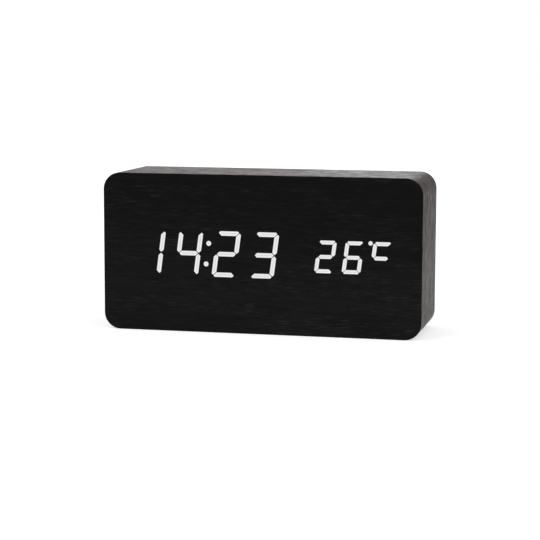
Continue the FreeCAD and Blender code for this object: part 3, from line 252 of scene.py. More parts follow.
    def end(self, shader: bpy.types.Node, kind: str = "ShaderNodeOutputMaterial") -> None:
        """Leads a shader to the output of a material or, by its kind, of a world."""
        self.add(kind, {"Surface": shader.outputs[0]})

    def finish(self, **inputs: object) -> bpy.types.Material:
        """Ends the tree in one principled shader.

        Args:
            **inputs: socket names, with _ for a blank, to values or sockets.

        Returns:
            The finished material.
        """
        named = {name.replace("_", " "): value for name, value in inputs.items()}
        self.end(self.add("ShaderNodeBsdfPrincipled", named))
        return self.owner


class Finish(Protocol):
    """Anything that can make a material."""

    def material(self) -> bpy.types.Material:
        """Returns the material."""
        ...


class Grain(Enum):
    """Which way the long wood pores of a film run: repeats a metre along X, Y and Z."""

    ALONG_FACE = (0.065, 0.3, 1.0)
    ROUND_THE_SIDES = (0.27, 1.0, 0.27)


@dataclass(frozen=True)
class WoodFilm:
    """Black printed film with the fine pores of a planed board pressed into it.

    The print is made of fine flecks, of dashes that come in clumps and of faint bands, with
    clouds over them. Over all of it lies painted light: a broad wandering band that draws the
    film lighter low on the block and darker near its top.
    """

    name: str
    grain: Grain
    dark: Colour = (0.0031, 0.0031, 0.0031)
    light: Colour = (0.03, 0.03, 0.03)
    gloss: float = 0.045
    satin: float = 0.34
    matt: float = 0.5
    dulled: Range = (0.38, 0.62)
    fine: float = 2200.0
    flecks: float = 0.65
    fleck_range: Range = (0.4, 0.85)
    fleck_power: float = 2.0
    dashes: float = 0.5
    dash_range: Range = (0.57, 0.67)
    dash_scale: float = 0.95
    dash_turn: Triple = (0.0, 0.01, 0.0)
    clump: float = 160.0
    clump_range: Range = (0.42, 0.6)
    coarse: float = 420.0
    bands: float = 0.13
    band_range: Range = (0.35, 0.7)
    band_detail: tuple[float, float] = (3.0, 0.6)
    cloud: Triple = (9.0, 22.0, 22.0)
    cloud_reach: Range = (0.6, 1.15)
    # painted light: strength and reach of the band drawn lighter low on the block
    painted_light: float = 0.05
    painted_light_reach: Range = (-1.3, 0.9)
    light_band_gloss: float = 0.0
    light_band_period: float = 110.0 * MM
    light_band_crest: float = 14.0 * MM
    light_band_wander: float = 1.2
    sheen: float = 0.0
    sheen_tint: Colour = (1.0, 0.47, 0.32)
    depth: float = 0.04 * MM
    edge: float = 0.3 * MM

    def material(self) -> bpy.types.Material:
        """Makes the film.

        Returns:
            The material.
        """
        graph = Graph(self.name)
        way = Vector(self.grain.value)
        clouds = graph.noise(self.cloud, detail=2.0)
        bands = graph.noise(way * self.coarse, *self.band_detail)
        streaks = graph.noise(way * self.fine, detail=4.0, rough=0.65)
        dashes = graph.noise(way * self.fine * self.dash_scale, detail=2.0, rough=0.4,
                             turn=self.dash_turn)
        clumps = graph.noise(way * self.clump, detail=1.0)
        fleck = graph.maths("POWER", graph.spread(streaks, *self.fleck_range), self.fleck_power)
        dash = graph.maths("MULTIPLY", graph.spread(dashes, *self.dash_range),
                           graph.spread(clumps, *self.clump_range))
        band = graph.spread(bands, *self.band_range)
        level = graph.weigh((fleck, self.flecks), (band, self.bands), (dash, self.dashes))
        level = graph.maths("MULTIPLY", level,
                            graph.spread(clouds, *NOISE_RANGE, *self.cloud_reach))
        # painted light: wandering bands along Z, lightest low on the block and darkest near its
        # top, added to the print; on the sides they also make the film a little glossier
        painted_light_band = graph.painted_light_band(self.light_band_period, self.light_band_crest, self.light_band_wander)
        painted_light = graph.spread(painted_light_band, 0.0, 1.0, *(reach * self.painted_light for reach in self.painted_light_reach))
        level = graph.maths("ADD", level, painted_light)
        colour = graph.mix(graph.spread(level, 0.0, 1.0), self.dark, self.light)
        height = graph.weigh((streaks, 0.6), (bands, 0.4))
        dull = graph.weigh((bands, 0.7), (streaks, 0.3), (painted_light_band, -self.light_band_gloss))
        rough = graph.spread(dull, *self.dulled, self.satin, self.matt)
        return graph.finish(Base_Color=colour, Roughness=rough, Specular_IOR_Level=self.gloss,
                            Sheen_Weight=self.sheen, Sheen_Tint=(*self.sheen_tint, 1.0),
                            Normal=graph.relief(height, self.depth, self.edge))


@dataclass(frozen=True)
class LitFilm:
    """The film over a lit segment: milky light, brightest just inside a soft edge."""

    name: str
    core: float = 0.71
    rim: float = 0.96
    fade: float = 0.27
    cloud: float = 500.0
    cloud_depth: float = 0.02

    def material(self) -> bpy.types.Material:
        """Makes the glow, from the distance to the edge that the mesh carries.

        Returns:
            The material.
        """
        graph = Graph(self.name)
        inward = graph.add("ShaderNodeAttribute", attribute_name=LitSegments.LAYER).outputs["Fac"]
        rise = graph.spread(inward, 0.0, LitSegments.CREST, self.fade, self.rim)
        fall = graph.spread(inward, LitSegments.CREST, 1.0, 0.0, self.rim - self.core)
        cloud = graph.spread(graph.noise(self.cloud, detail=2.0), *NOISE_RANGE,
                             -self.cloud_depth, self.cloud_depth)
        power = graph.maths("ADD", graph.maths("SUBTRACT", rise, fall), cloud)
        return graph.finish(Base_Color=(0.02, 0.02, 0.02, 1.0), Roughness=0.45,
                            Specular_IOR_Level=0.12, Emission_Color=(1.0, 1.0, 1.0, 1.0),
                            Emission_Strength=power)


@dataclass(frozen=True)
class Moulded:
    """Moulded plastic: fine spark-eroded texture, faint flow marks, patches of wear and softened
    edges.
    """

    name: str
    colour: Colour
    roughness: float = 0.5
    grit: float = 2600.0
    depth: float = 0.02 * MM
    edge: float = 0.25 * MM
    variation: float = 0.18
    gloss: float = 0.45
    flow: Triple = (40.0, 40.0, 70.0)
    wear: float = 420.0
    wear_range: Range = (0.62, 0.78)
    wear_share: float = 0.5
    wear_polish: float = 0.3
    rubbed: float = 2.5
    rubbed_lift: float = 0.004
    uneven: Range = (-0.1, 0.08)
    uneven_range: Range = (0.2, 0.8)

    def material(self) -> bpy.types.Material:
        """Makes the plastic.

        Returns:
            The material.
        """
        graph = Graph(self.name)
        grit = graph.noise(self.grit, detail=2.0, rough=0.6)
        flow = graph.noise(self.flow)
        wear = graph.spread(graph.noise(self.wear, detail=4.0, rough=0.7), *self.wear_range)
        dark = shaded(self.colour, 1.0 - self.variation)
        light = shaded(self.colour, 1.0 + self.variation)
        rubbed = shaded(self.colour, 1.0 + self.rubbed * self.variation, self.rubbed_lift)
        colour = graph.mix(graph.spread(flow, *NOISE_RANGE), dark, light)
        mark = graph.maths("MULTIPLY", wear, self.wear_share)
        colour = graph.mix(mark, colour, graph.mix(wear, light, rubbed))
        polish = graph.maths("MULTIPLY", wear, -self.wear_polish)
        rough = graph.spread(graph.maths("ADD", flow, polish), *self.uneven_range,
                             *(self.roughness + step for step in self.uneven))
        return graph.finish(Base_Color=colour, Roughness=rough, Specular_IOR_Level=self.gloss,
                            Normal=graph.relief(grit, self.depth, self.edge))


@dataclass(frozen=True)
class Metal:
    """Bare or plated metal with drawn lines, stains and softened edges."""

    name: str
    colour: Colour
    roughness: float = 0.3
    lines: Triple = (300.0, 2500.0, 2500.0)
    depth: float = 0.006 * MM
    edge: float = 0.12 * MM
    stain: Colour = (0.25, 0.22, 0.18)
    stained: float = 0.25
    cloud: float = 260.0
    cloud_range: Range = (0.45, 0.75)
    uneven: Range = (-0.08, 0.16)
    uneven_range: Range = (0.3, 1.0)

    def material(self) -> bpy.types.Material:
        """Makes the metal.

        Returns:
            The material.
        """
        graph = Graph(self.name)
        lines = graph.noise(self.lines, detail=3.0, rough=0.6)
        cloud = graph.noise(self.cloud, detail=4.0, rough=0.6)
        film = graph.maths("MULTIPLY", graph.spread(cloud, *self.cloud_range), self.stained)
        colour = graph.mix(film, self.colour, self.stain)
        rough = graph.spread(graph.maths("ADD", lines, film), *self.uneven_range,
                             *(self.roughness + step for step in self.uneven))
        return graph.finish(Base_Color=colour, Metallic=1.0, Roughness=rough,
                            Normal=graph.relief(lines, self.depth, self.edge))


@dataclass(frozen=True)
class CircuitBoard:
    """Green solder mask over copper tracks, on glass-cloth board."""

    name: str
    mask: Colour = (0.008, 0.075, 0.028)
    track: Colour = (0.02, 0.16, 0.06)
    cloth: Colour = (0.32, 0.30, 0.14)
    cloth_shade: float = 0.75
    pitch: float = 330.0
    scatter: float = 0.55
    ridges: float = 3.0
    track_range: Range = (0.3, 0.36)
    face_range: Range = (0.4, 0.6)
    weave: float = 1800.0
    weave_height: float = 0.25
    rough: Range = (0.25, 0.38)
    depth: float = 0.02 * MM
    edge: float = 0.1 * MM

    def material(self) -> bpy.types.Material:
        """Makes the board.

        Returns:
            The material.
        """
        graph = Graph(self.name)
        cells = graph.add("ShaderNodeTexVoronoi", {"Vector": graph.stretched(self.pitch),
                                                   "Scale": 1.0, "Randomness": self.scatter},
                          feature="F1", distance="CHEBYCHEV")
        ridge = graph.maths("MULTIPLY", cells.outputs["Distance"], self.ridges)
        track = graph.spread(graph.maths("PINGPONG", ridge, 0.5), *self.track_range)
        weave = graph.noise(self.weave, detail=2.0)
        face = graph.spread(graph.maths("ABSOLUTE", graph.component("Normal", "Y")),
                            *self.face_range)
        cut = graph.mix(weave, shaded(self.cloth, self.cloth_shade), self.cloth)
        colour = graph.mix(face, cut, graph.mix(track, self.mask, self.track))
        height = graph.maths("ADD", track, graph.maths("MULTIPLY", weave, self.weave_height))
        return graph.finish(Base_Color=colour,
                            Roughness=graph.spread(weave, *NOISE_RANGE, *self.rough),
                            Normal=graph.relief(height, self.depth, self.edge))


@dataclass(frozen=True)
class Fibreboard:
    """Milled fibreboard: felted brown fibres in pressed layers."""

    name: str
    pale: Colour = (0.36, 0.24, 0.135)
    brown: Colour = (0.19, 0.115, 0.06)
    fibre: Triple = (900.0, 2600.0, 900.0)
    fibre_turn: Triple = (0.3, 0.2, 0.5)
    layer: Triple = (30.0, 420.0, 30.0)
    felt_range: Range = (0.35, 0.65)
    rough: Range = (0.82, 0.95)
    depth: float = 0.12 * MM
    edge: float = 0.3 * MM

    def material(self) -> bpy.types.Material:
        """Makes the board.

        Returns:
            The material.
        """
        graph = Graph(self.name)
        fibres = graph.noise(self.fibre, detail=5.0, rough=0.7, turn=self.fibre_turn)
        felt = graph.weigh((fibres, 0.7), (graph.noise(self.layer), 0.3))
        colour = graph.mix(graph.spread(felt, *self.felt_range), self.brown, self.pale)
        return graph.finish(Base_Color=colour, Specular_IOR_Level=0.2,
                            Roughness=graph.spread(fibres, *NOISE_RANGE, *self.rough),
                            Normal=graph.relief(fibres, self.depth, self.edge))


@dataclass(frozen=True)
class Foam:
    """Soft black foam tape with open cells."""

    name: str
    colour: Colour = (0.012, 0.012, 0.013)
    painted_wall_light: float = 2.6
    cells: float = 2200.0
    wall_range: Range = (0.0, 0.8)
    rough: Range = (0.85, 1.0)
    depth: float = 0.15 * MM
    edge: float = 0.2 * MM

    def material(self) -> bpy.types.Material:
        """Makes the foam.

        Returns:
            The material.
        """
        graph = Graph(self.name)
        cells = graph.add("ShaderNodeTexVoronoi", {"Vector": graph.stretched(self.cells),
                                                   "Scale": 1.0})
        wall = cells.outputs["Distance"]
        # painted shade: darker down in each cell's pit and lighter on the walls round it, by the
        # same pattern that the bump raises
        colour = graph.mix(wall, self.colour, shaded(self.colour, self.painted_wall_light))
        return graph.finish(Base_Color=colour, Specular_IOR_Level=0.2,
                            Roughness=graph.spread(wall, *self.wall_range, *self.rough),
                            Normal=graph.relief(wall, self.depth, self.edge))


@dataclass(frozen=True)
class Ribbed:
    """Flat cable: round wires side by side, the first one marked."""

    name: str
    middle: float
    width: float
    wires: int = 16
    grey: Colour = (0.33, 0.34, 0.35)
    painted_groove_shade: Colour = (0.16, 0.165, 0.17)
    mark: Colour = (0.42, 0.03, 0.03)
    groove_shade_range: Range = (0.03, 0.2)
    scuff: Triple = (500.0, 900.0, 900.0)
    rough: Range = (0.42, 0.6)
    depth: float = 0.3 * MM
    edge: float = 0.1 * MM

    def material(self) -> bpy.types.Material:
        """Makes the cable.

        Returns:
            The material.
        """
        graph = Graph(self.name)
        start = self.middle - self.width / 2
        across = graph.maths("SUBTRACT", graph.component("Object", "X"), start)
        across = graph.maths("MULTIPLY", across, self.wires / self.width)
        wire = graph.maths("PINGPONG", across, 0.5)
        # painted shade: the grey and the marked wire turn darker down in the creases between the
        # wires, where the bump dips
        crown = graph.spread(wire, *self.groove_shade_range)
        first = graph.maths("LESS_THAN", across, 1.0)
        colour = graph.mix(first, graph.mix(crown, self.painted_groove_shade, self.grey),
                           graph.mix(crown, self.painted_groove_shade, self.mark))
        rough = graph.spread(graph.noise(self.scuff), *NOISE_RANGE, *self.rough)
        return graph.finish(Base_Color=colour, Roughness=rough,
                            Normal=graph.relief(graph.spread(wire, 0.0, 0.5), self.depth,
                                                self.edge))


@dataclass(frozen=True)
class Wrap:
    """Printed shrink sleeve of a cell: one body colour and a metallic band at the nub."""

    name: str
    body: Colour
    band: Colour
    border: float
    nub_side: int
    blur: float = 0.02 * MM
    line_place: float = 0.9 * MM
    line_edge: Range = (0.32 * MM, 0.28 * MM)
    scuff: Triple = (180.0, 900.0, 900.0)
    scuff_range: Range = (0.45, 0.75)
    worn: float = 1.15
    worn_lift: float = 0.004
    band_shade: float = 0.8
    band_metal: float = 0.85
    rough: Range = (0.2, 0.34)
    depth: float = 0.01 * MM
    edge: float = 0.1 * MM

    def material(self) -> bpy.types.Material:
        """Makes the sleeve.

        Returns:
            The material.
        """
        graph = Graph(self.name)
        past = graph.maths("SUBTRACT", graph.component("Object", "X"), self.border)
        past = graph.maths("MULTIPLY", past, float(self.nub_side))
        banded = graph.spread(past, -self.blur, self.blur)
        beside = graph.maths("ABSOLUTE", graph.maths("ADD", past, self.line_place))
        shown = graph.maths("MAXIMUM", banded, graph.spread(beside, *self.line_edge))
        scuff = graph.noise(self.scuff, detail=4.0, rough=0.65)
        colour = graph.mix(graph.spread(scuff, *self.scuff_range), self.body,
                           shaded(self.body, self.worn, self.worn_lift))
        bright = graph.mix(graph.spread(scuff, *NOISE_RANGE),
                           shaded(self.band, self.band_shade), self.band)
        return graph.finish(Base_Color=graph.mix(shown, colour, bright),
                            Metallic=graph.maths("MULTIPLY", shown, self.band_metal),
                            Roughness=graph.spread(scuff, *NOISE_RANGE, *self.rough),
                            Normal=graph.relief(scuff, self.depth, self.edge))


@dataclass(frozen=True)
class Milky:
    """White plastic that lets light through."""

    name: str
    colour: Colour = (0.78, 0.78, 0.76)
    warmth: Colour = (0.93, 0.92, 0.88)
    depth_of_light: float = 0.6
    reach_of_light: float = 0.6 * MM
    cloud: float = 150.0
    grit: float = 2400.0
    rough: Range = (0.34, 0.46)
    depth: float = 0.01 * MM
    edge: float = 0.2 * MM

    def material(self) -> bpy.types.Material:
        """Makes the plastic.

        Returns:
            The material.
        """
        graph = Graph(self.name)
        warm = tuple(part * share for part, share in zip(self.colour, self.warmth))
        cloud = graph.spread(graph.noise(self.cloud), *NOISE_RANGE)
        grit = graph.noise(self.grit, detail=2.0)
        return graph.finish(Base_Color=graph.mix(cloud, warm, self.colour),
                            Roughness=graph.spread(grit, *NOISE_RANGE, *self.rough),
                            Subsurface_Weight=self.depth_of_light,
                            Subsurface_Scale=self.reach_of_light,
                            Normal=graph.relief(grit, self.depth, self.edge))


# ------------------------------------------------------------------ meshes
class Side(Enum):
    """Which way a face looks along Y."""

    BACK = 1
    FRONT = -1


class Pointing(Enum):
    """Which way an arrowhead points: its turn in the face, in radians."""

    UP = 0.0
    DOWN = math.pi


def middle_of(name: str) -> Vector:
    """Middle of a node's box."""
    low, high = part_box(name)
    return (low + high) / 2


def facing(centre: Vector, side: Side) -> Matrix:
    """Carries a flat drawing onto a face that looks along Y, so that it reads from outside.

    Args:
        centre: where the drawing's origin goes.
        side: which way the face looks.

    Returns:
        The matrix: drawing X to the right, drawing Y up, drawing Z out of the face.
    """
    out = side.value
    turn = Matrix(((-out, 0, 0), (0, 0, out), (0, 1, 0))).to_4x4()
    return Matrix.Translation(centre) @ turn


def faces_at(verts: Iterable[bmesh.types.BMVert]) -> list[bmesh.types.BMFace]:
    """The faces at some points, each once."""
    return list(dict.fromkeys(face for vert in verts for face in vert.link_faces))


def edges_at(verts: Iterable[bmesh.types.BMVert]) -> list[bmesh.types.BMEdge]:
    """The edges at some points, each once."""
    return list(dict.fromkeys(edge for vert in verts for edge in vert.link_edges))


def add_object(name: str, data: bpy.types.ID) -> bpy.types.Object:
    """Makes an object and links it into the scene.

    Args:
        name: its name.
        data: its mesh, camera or lamp.

    Returns:
        The object.
    """
    made = bpy.data.objects.new(name, data)
    bpy.context.scene.collection.objects.link(made)
    return made


class Piece:
    """One new mesh while it is shaped, and the finished object."""

    CLOSE = 1e-7  # points nearer to each other than this are one
    DOME_SIDES, DOME_RINGS = 12, 8

    def __init__(self, name: str) -> None:
        """Starts an empty mesh with the name of its object."""
        self.name = name
        self.mesh = bmesh.new()

    def block(self, low: Vector, high: Vector) -> None:
        """Adds a block from its lowest corner to its highest."""
        matrix = Matrix.Translation((low + high) / 2) @ Matrix.Diagonal((*(high - low), 1.0))
        bmesh.ops.create_cube(self.mesh, size=1.0, matrix=matrix)

    def lathe(self, profile: Iterable[Range], centre: Vector, axis: Vector, steps: int) -> None:
        """Adds a closed shape turned about an axis.

        Args:
            profile: closed outline as (distance along the axis, radius).
            centre: the axis' origin.
            axis: direction of the axis.
            steps: number of sides.
        """
        axis = axis.normalized()
        across = axis.orthogonal().normalized()
        verts = [self.mesh.verts.new(centre + axis * a + across * r) for a, r in profile]
        edges = [self.mesh.edges.new((verts[i - 1], verts[i])) for i in range(len(verts))]
        bmesh.ops.spin(self.mesh, geom=verts + edges, cent=centre, axis=axis,
                       angle=2 * math.pi, steps=steps, use_merge=True)

    def dome(self, centre: Vector, out: Vector, radius: float, height: float) -> None:
        """Adds a solder dome that stands on a plane.

        Args:
            centre: middle of its foot.
            out: direction away from the plane.
            radius: radius of the foot.
            height: height of the dome.
        """
        turn = out.to_track_quat("Z", "Y").to_matrix().to_4x4()
        matrix = Matrix.Translation(centre) @ turn @ Matrix.Diagonal((radius, radius, height, 1))
        made = bmesh.ops.create_uvsphere(self.mesh, u_segments=self.DOME_SIDES,
                                         v_segments=self.DOME_RINGS, radius=1.0, matrix=matrix)
        sphere = made["verts"] + edges_at(made["verts"]) + faces_at(made["verts"])
        bmesh.ops.bisect_plane(self.mesh, geom=sphere, plane_co=centre, plane_no=out,
                               clear_inner=True)
        rim = [edge for edge in self.mesh.edges if edge.is_boundary]
        bmesh.ops.holes_fill(self.mesh, edges=rim)

    def finish(self, body: str, slot: str, material: bpy.types.Material) -> bpy.types.Object:
        """Closes the mesh and hangs the object on its body.

        Args:
            body: the body that it moves with.
            slot: not used.
            material: the material.

        Returns:
            The object.
        """
        bmesh.ops.remove_doubles(self.mesh, verts=self.mesh.verts, dist=self.CLOSE)
        bmesh.ops.recalc_face_normals(self.mesh, faces=self.mesh.faces)
        data = bpy.data.meshes.new(self.name)
        self.mesh.to_mesh(data)
        self.mesh.free()
        data.materials.append(material)
        piece = add_object(self.name, data)
        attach(piece, body)
        LOG.info("piece %s: %d faces on %s", self.name, len(data.polygons), body)
        return piece


class Raised(Piece):
    """Flat signs raised from a face that looks along Y."""

    SINK = 0.05 * MM  # how far they reach into the face
    CORNER_STEPS = 6
    DISC_SIDES = 28

    def __init__(self, name: str, face: float, side: Side, height: float) -> None:
        """Starts an empty set of signs.

        Args:
            name: name of the object.
            face: Y of the face.
            side: which way the face looks.
            height: how far the signs stand out.
        """
        super().__init__(name)
        self.face = face
        self.side = side
        self.height = height

    def _raise(self, faces: list[bmesh.types.BMFace], x: float, z: float) -> None:
        """Gives flat faces their thickness and carries them onto the face.

        Args:
            faces: faces drawn about the origin of the XY plane.
            x: where they go along the clock.
            z: where they go up it.
        """
        raised = bmesh.ops.extrude_face_region(self.mesh, geom=faces)["geom"]
        top = [item for item in raised if isinstance(item, bmesh.types.BMVert)]
        bmesh.ops.translate(self.mesh, verts=top, vec=Vector((0, 0, self.height + self.SINK)))
        verts = list({vert for face in faces for vert in face.verts}) + top
        foot = Vector((x, self.face - self.side.value * self.SINK, z))
        bmesh.ops.transform(self.mesh, matrix=facing(foot, self.side), verts=verts)

    def _hollow(self, faces: list[bmesh.types.BMFace], x: float, z: float, stroke: float) -> None:
        """Keeps only a line round the edge of one face, then raises it.

        Args:
            faces: the one face.
            x: where it goes along the clock.
            z: where it goes up it.
            stroke: width of the line.
        """
        made = bmesh.ops.inset_region(self.mesh, faces=faces, thickness=stroke,
                                      use_boundary=True, use_even_offset=True)
        line = list(made["faces"])
        bmesh.ops.delete(self.mesh, geom=faces, context="FACES_ONLY")
        self._raise(line, x, z)

    def _circle(self, radius: float, sides: int, turn: float = 0.0) -> list[bmesh.types.BMFace]:
        """Draws a filled circle about the origin.

        Args:
            radius: its radius.
            sides: number of sides.
            turn: rotation, in radians.

        Returns:
            Its one face.
        """
        made = bmesh.ops.create_circle(self.mesh, cap_ends=True, radius=radius, segments=sides,
                                       matrix=Matrix.Rotation(turn, 4, "Z"))
        return faces_at(made["verts"])

    def _oblong(self, width: float, height: float) -> list[bmesh.types.BMVert]:
        """Draws a filled rectangle about the origin.

        Args:
            width: its length along the clock.
            height: its length up it.

        Returns:
            Its corners.
        """
        made = bmesh.ops.create_grid(self.mesh, x_segments=1, y_segments=1, size=0.5,
                                     matrix=Matrix.Diagonal((width, height, 1, 1)))
        return made["verts"]

    def disc(self, x: float, z: float, radius: float) -> None:
        """Adds a disc with its middle at x and z."""
        self._raise(self._circle(radius, self.DISC_SIDES), x, z)

    def arrowhead(self, x: float, z: float, radius: float, pointing: Pointing) -> None:
        """Adds a triangle round x and z, with its corners at a radius."""
        self._raise(self._circle(radius, 3, pointing.value), x, z)

    def bar(self, x: float, z: float, width: float, height: float) -> None:
        """Adds a bar with its middle at x and z."""
        self._raise(faces_at(self._oblong(width, height)), x, z)

    def cross(self, x: float, z: float, size: float, stroke: float) -> None:
        """Adds a plus sign of three bars.

        Args:
            x: its middle along the clock.
            z: its middle up it.
            size: length of its arms.
            stroke: width of a bar.
        """
        arm = (size - stroke) / 2
        self.bar(x, z, size, stroke)
        for side in (-1, 1):
            self.bar(x, z + side * (stroke + arm) / 2, stroke, arm)

    def ring(self, x: float, z: float, radius: float, stroke: float, sides: int = 32) -> None:
        """Adds a ring at x and z, by its outer radius and its width."""
        self._hollow(self._circle(radius, sides), x, z, stroke)

    def border(self, x: float, z: float, width: float, height: float, corner: float,
               stroke: float) -> None:
        """Adds a rounded rectangular outline.

        Args:
            x: its middle along the clock.
            z: its middle up it.
            width: its outer length along the clock.
            height: its outer length up it.
            corner: outer corner radius.
            stroke: width of the line.
        """
        made = bmesh.ops.bevel(self.mesh, geom=self._oblong(width, height), offset=corner,
                               segments=self.CORNER_STEPS, profile=0.5, affect="VERTICES",
                               material=-1)
        self._hollow(faces_at(made["verts"]), x, z, stroke)


class LitSegments(Piece):
    """The film over the lit segments of one node, with the distance to each edge stored."""

    LAYER = "inward"
    CREST = 0.5  # the stored value where the light is brightest
    MERGE = 0.002 * MM  # corners of triangles nearer than this are one
    FLAT = 0.02  # radians within which triangles join into one face
    FRONT = -0.9  # a face looks to the front where its normal's Y is below this

    def __init__(self, name: str, node: bpy.types.Object) -> None:
        """Copies the node's solids and merges their triangles.

        Args:
            name: name of the object.
            node: the node that it stands for.
        """
        super().__init__(name)
        self.mesh.from_mesh(node.data)
        bmesh.ops.remove_doubles(self.mesh, verts=self.mesh.verts, dist=self.MERGE)
        bmesh.ops.dissolve_limit(self.mesh, angle_limit=self.FLAT, verts=self.mesh.verts,
                                 edges=self.mesh.edges)

    def _fronts(self) -> list[bmesh.types.BMFace]:
        """The faces that look to the front."""
        self.mesh.normal_update()
        return [face for face in self.mesh.faces if face.normal.y < self.FRONT]

    def widen(self, margin: float, proud: float) -> None:
        """Spreads each lit front by a margin over the dark film, and stands it a little proud."""
        bmesh.ops.inset_individual(self.mesh, faces=self._fronts(), thickness=-margin,
                                   depth=proud, use_even_offset=True)

    def shade(self, steps: tuple[Range, ...]) -> None:
        """Insets each front face and stores how far inside the edge each point is.

        Args:
            steps: (width of the inset, value on its inner side), from the edge inwards.
        """
        layer = self.mesh.verts.layers.float.new(self.LAYER)
        fronts = self._fronts()
        for width, value in steps:
            bmesh.ops.inset_individual(self.mesh, faces=fronts, thickness=width,
                                       use_even_offset=True)
            for vert in {vert for face in fronts for vert in face.verts}:
                vert[layer] = value


# ------------------------------------------------------------------ sub-assemblies
@dataclass
class Dresser:
    """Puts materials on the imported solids, and knows which still lack one."""

    nodes: dict[str, bpy.types.Object]
    dressed: set[str] = field(default_factory=set)

    def put(self, finish: Finish, *names: str) -> None:
        """Gives nodes one finish.

        Args:
            finish: what makes the material.
            *names: the nodes.
        """
        material = finish.material()
        for name in names:
            for slot in self.nodes[name].material_slots:
                slot.material = material
            self.dressed.add(name)
        LOG.info("finish %s on %s", material.name, ", ".join(names))

    def worn(self, name: str) -> bpy.types.Material:
        """The material that a node wears, for new pieces of the same stuff."""
        return self.nodes[name].material_slots[0].material

    def bare(self) -> list[str]:
        """Names of the nodes that still lack a finish."""
        return sorted(set(self.nodes) - self.dressed)


class Assembly(ABC):
    """One sub-assembly: it finishes its solids, and adds its new pieces if it has any."""

    @abstractmethod
    def dress(self, dresser: Dresser) -> None:
        """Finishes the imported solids."""

    def build(self, dresser: Dresser) -> None:
        """Adds the new pieces."""


@dataclass
class Case(Assembly):
    """The block, its films and the lit film over the segments."""

    face_film: WoodFilm = WoodFilm("film_face", Grain.ALONG_FACE)
    # The sides' film is drawn lighter and a little warmer than the face's: partly the film's own
    # colour, partly painted light for the brighter look that grazing light gives the top and
    # sides.
    side_film: WoodFilm = WoodFilm("film_sides", Grain.ROUND_THE_SIDES,
                                   dark=(0.0032, 0.0031, 0.003), light=(0.052, 0.0485, 0.0465),
                                   matt=0.76, dulled=(0.4, 0.68), coarse=520.0, fine=2000.0,
                                   light_band_gloss=0.05, band_detail=(5.0, 0.75), flecks=0.55,
                                   dashes=0.45, sheen=0.032)
    lit: tuple[str, ...] = ("lit_time_digits", "lit_colon_dots", "lit_temperature_digits",
                            "lit_degree_unit")
    glow: tuple[Range, ...] = ((0.25 * MM, LitSegments.CREST), (0.5 * MM, 1.0))
    glow_margin: float = 0.035 * MM
    glow_proud: float = 0.005 * MM

    def dress(self, dresser: Dresser) -> None:
        """Finishes the solids.

        Args:
            dresser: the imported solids.
        """
        dresser.put(Fibreboard("fibreboard"), "case_block")
        dresser.put(self.face_film, "front_veneer", "back_veneer")
        dresser.put(self.side_film, "band_veneer", "base_veneer")
        dresser.put(LitFilm("film_lit"), *self.lit)

    def build(self, dresser: Dresser) -> None:
        """Replaces the lit solids by the same shapes with soft edges.

        Args:
            dresser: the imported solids.
        """
        for name in self.lit:
            segments = LitSegments(f"{name}_film", dresser.nodes[name])
            segments.widen(self.glow_margin, self.glow_proud)
            segments.shade(self.glow)
            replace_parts(segments.finish("case", "lit_segment", dresser.worn(name)), name)


@dataclass
class Display(Assembly):
    """Reflector, diffusers and the board behind them."""

    pin_count: int = 11
    pin_pitch: float = 0.8 * MM
    pin_width: float = 0.35 * MM
    pin_reach: float = 1.2 * MM
    pin_bite: float = 0.1 * MM
    pin_thickness: float = 0.18 * MM

    def dress(self, dresser: Dresser) -> None:
        """Finishes the solids.

        Args:
            dresser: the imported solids.
        """
        dresser.put(Moulded("reflector_white", (0.8, 0.8, 0.78), 0.4, variation=0.04),
                    "display_reflector")
        dresser.put(Milky("diffuser_milk"), "segment_diffusers")
        dresser.put(Foam("foam_tape"), "light_seal_tape")
        dresser.put(CircuitBoard("display_board_green"), "display_board")
        dresser.put(Metal("board_screw_steel", (0.62, 0.61, 0.58)), "display_board_screws")
        dresser.put(Moulded("led_phosphor", (0.75, 0.66, 0.2), 0.35, variation=0.1), "led_chips")
        dresser.put(Moulded("driver_epoxy", (0.016, 0.016, 0.017), 0.55), "display_driver_chip")
        dresser.put(Moulded("display_connector_nylon", (0.72, 0.7, 0.64), 0.4, variation=0.05),
                    "display_connector")

    def build(self, dresser: Dresser) -> None:
        """Adds the driver chip's pins, on all four sides.

        Args:
            dresser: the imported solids.
        """
        low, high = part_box("display_driver_chip")
        half_chip = (high.x - low.x) / 2
        middle = middle_of("display_driver_chip")
        foot = Vector((middle.x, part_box("display_board")[1].y, middle.z))
        half = self.pin_width / 2
        pins = Piece("driver_chip_pins")
        for side in range(4):
            turn = Matrix.Rotation(side * math.pi / 2, 4, "Y")
            for number in range(self.pin_count):
                along = (number - (self.pin_count - 1) / 2) * self.pin_pitch
                near = turn @ Vector((half_chip - self.pin_bite, 0, along - half))
                far = turn @ Vector((half_chip + self.pin_reach, self.pin_thickness,
                                     along + half))
                pins.block(Vector(map(min, near, far)) + foot, Vector(map(max, near, far)) + foot)
        pins.finish("case", "tin", Metal("driver_pin_tin", (0.72, 0.71, 0.68)).material())


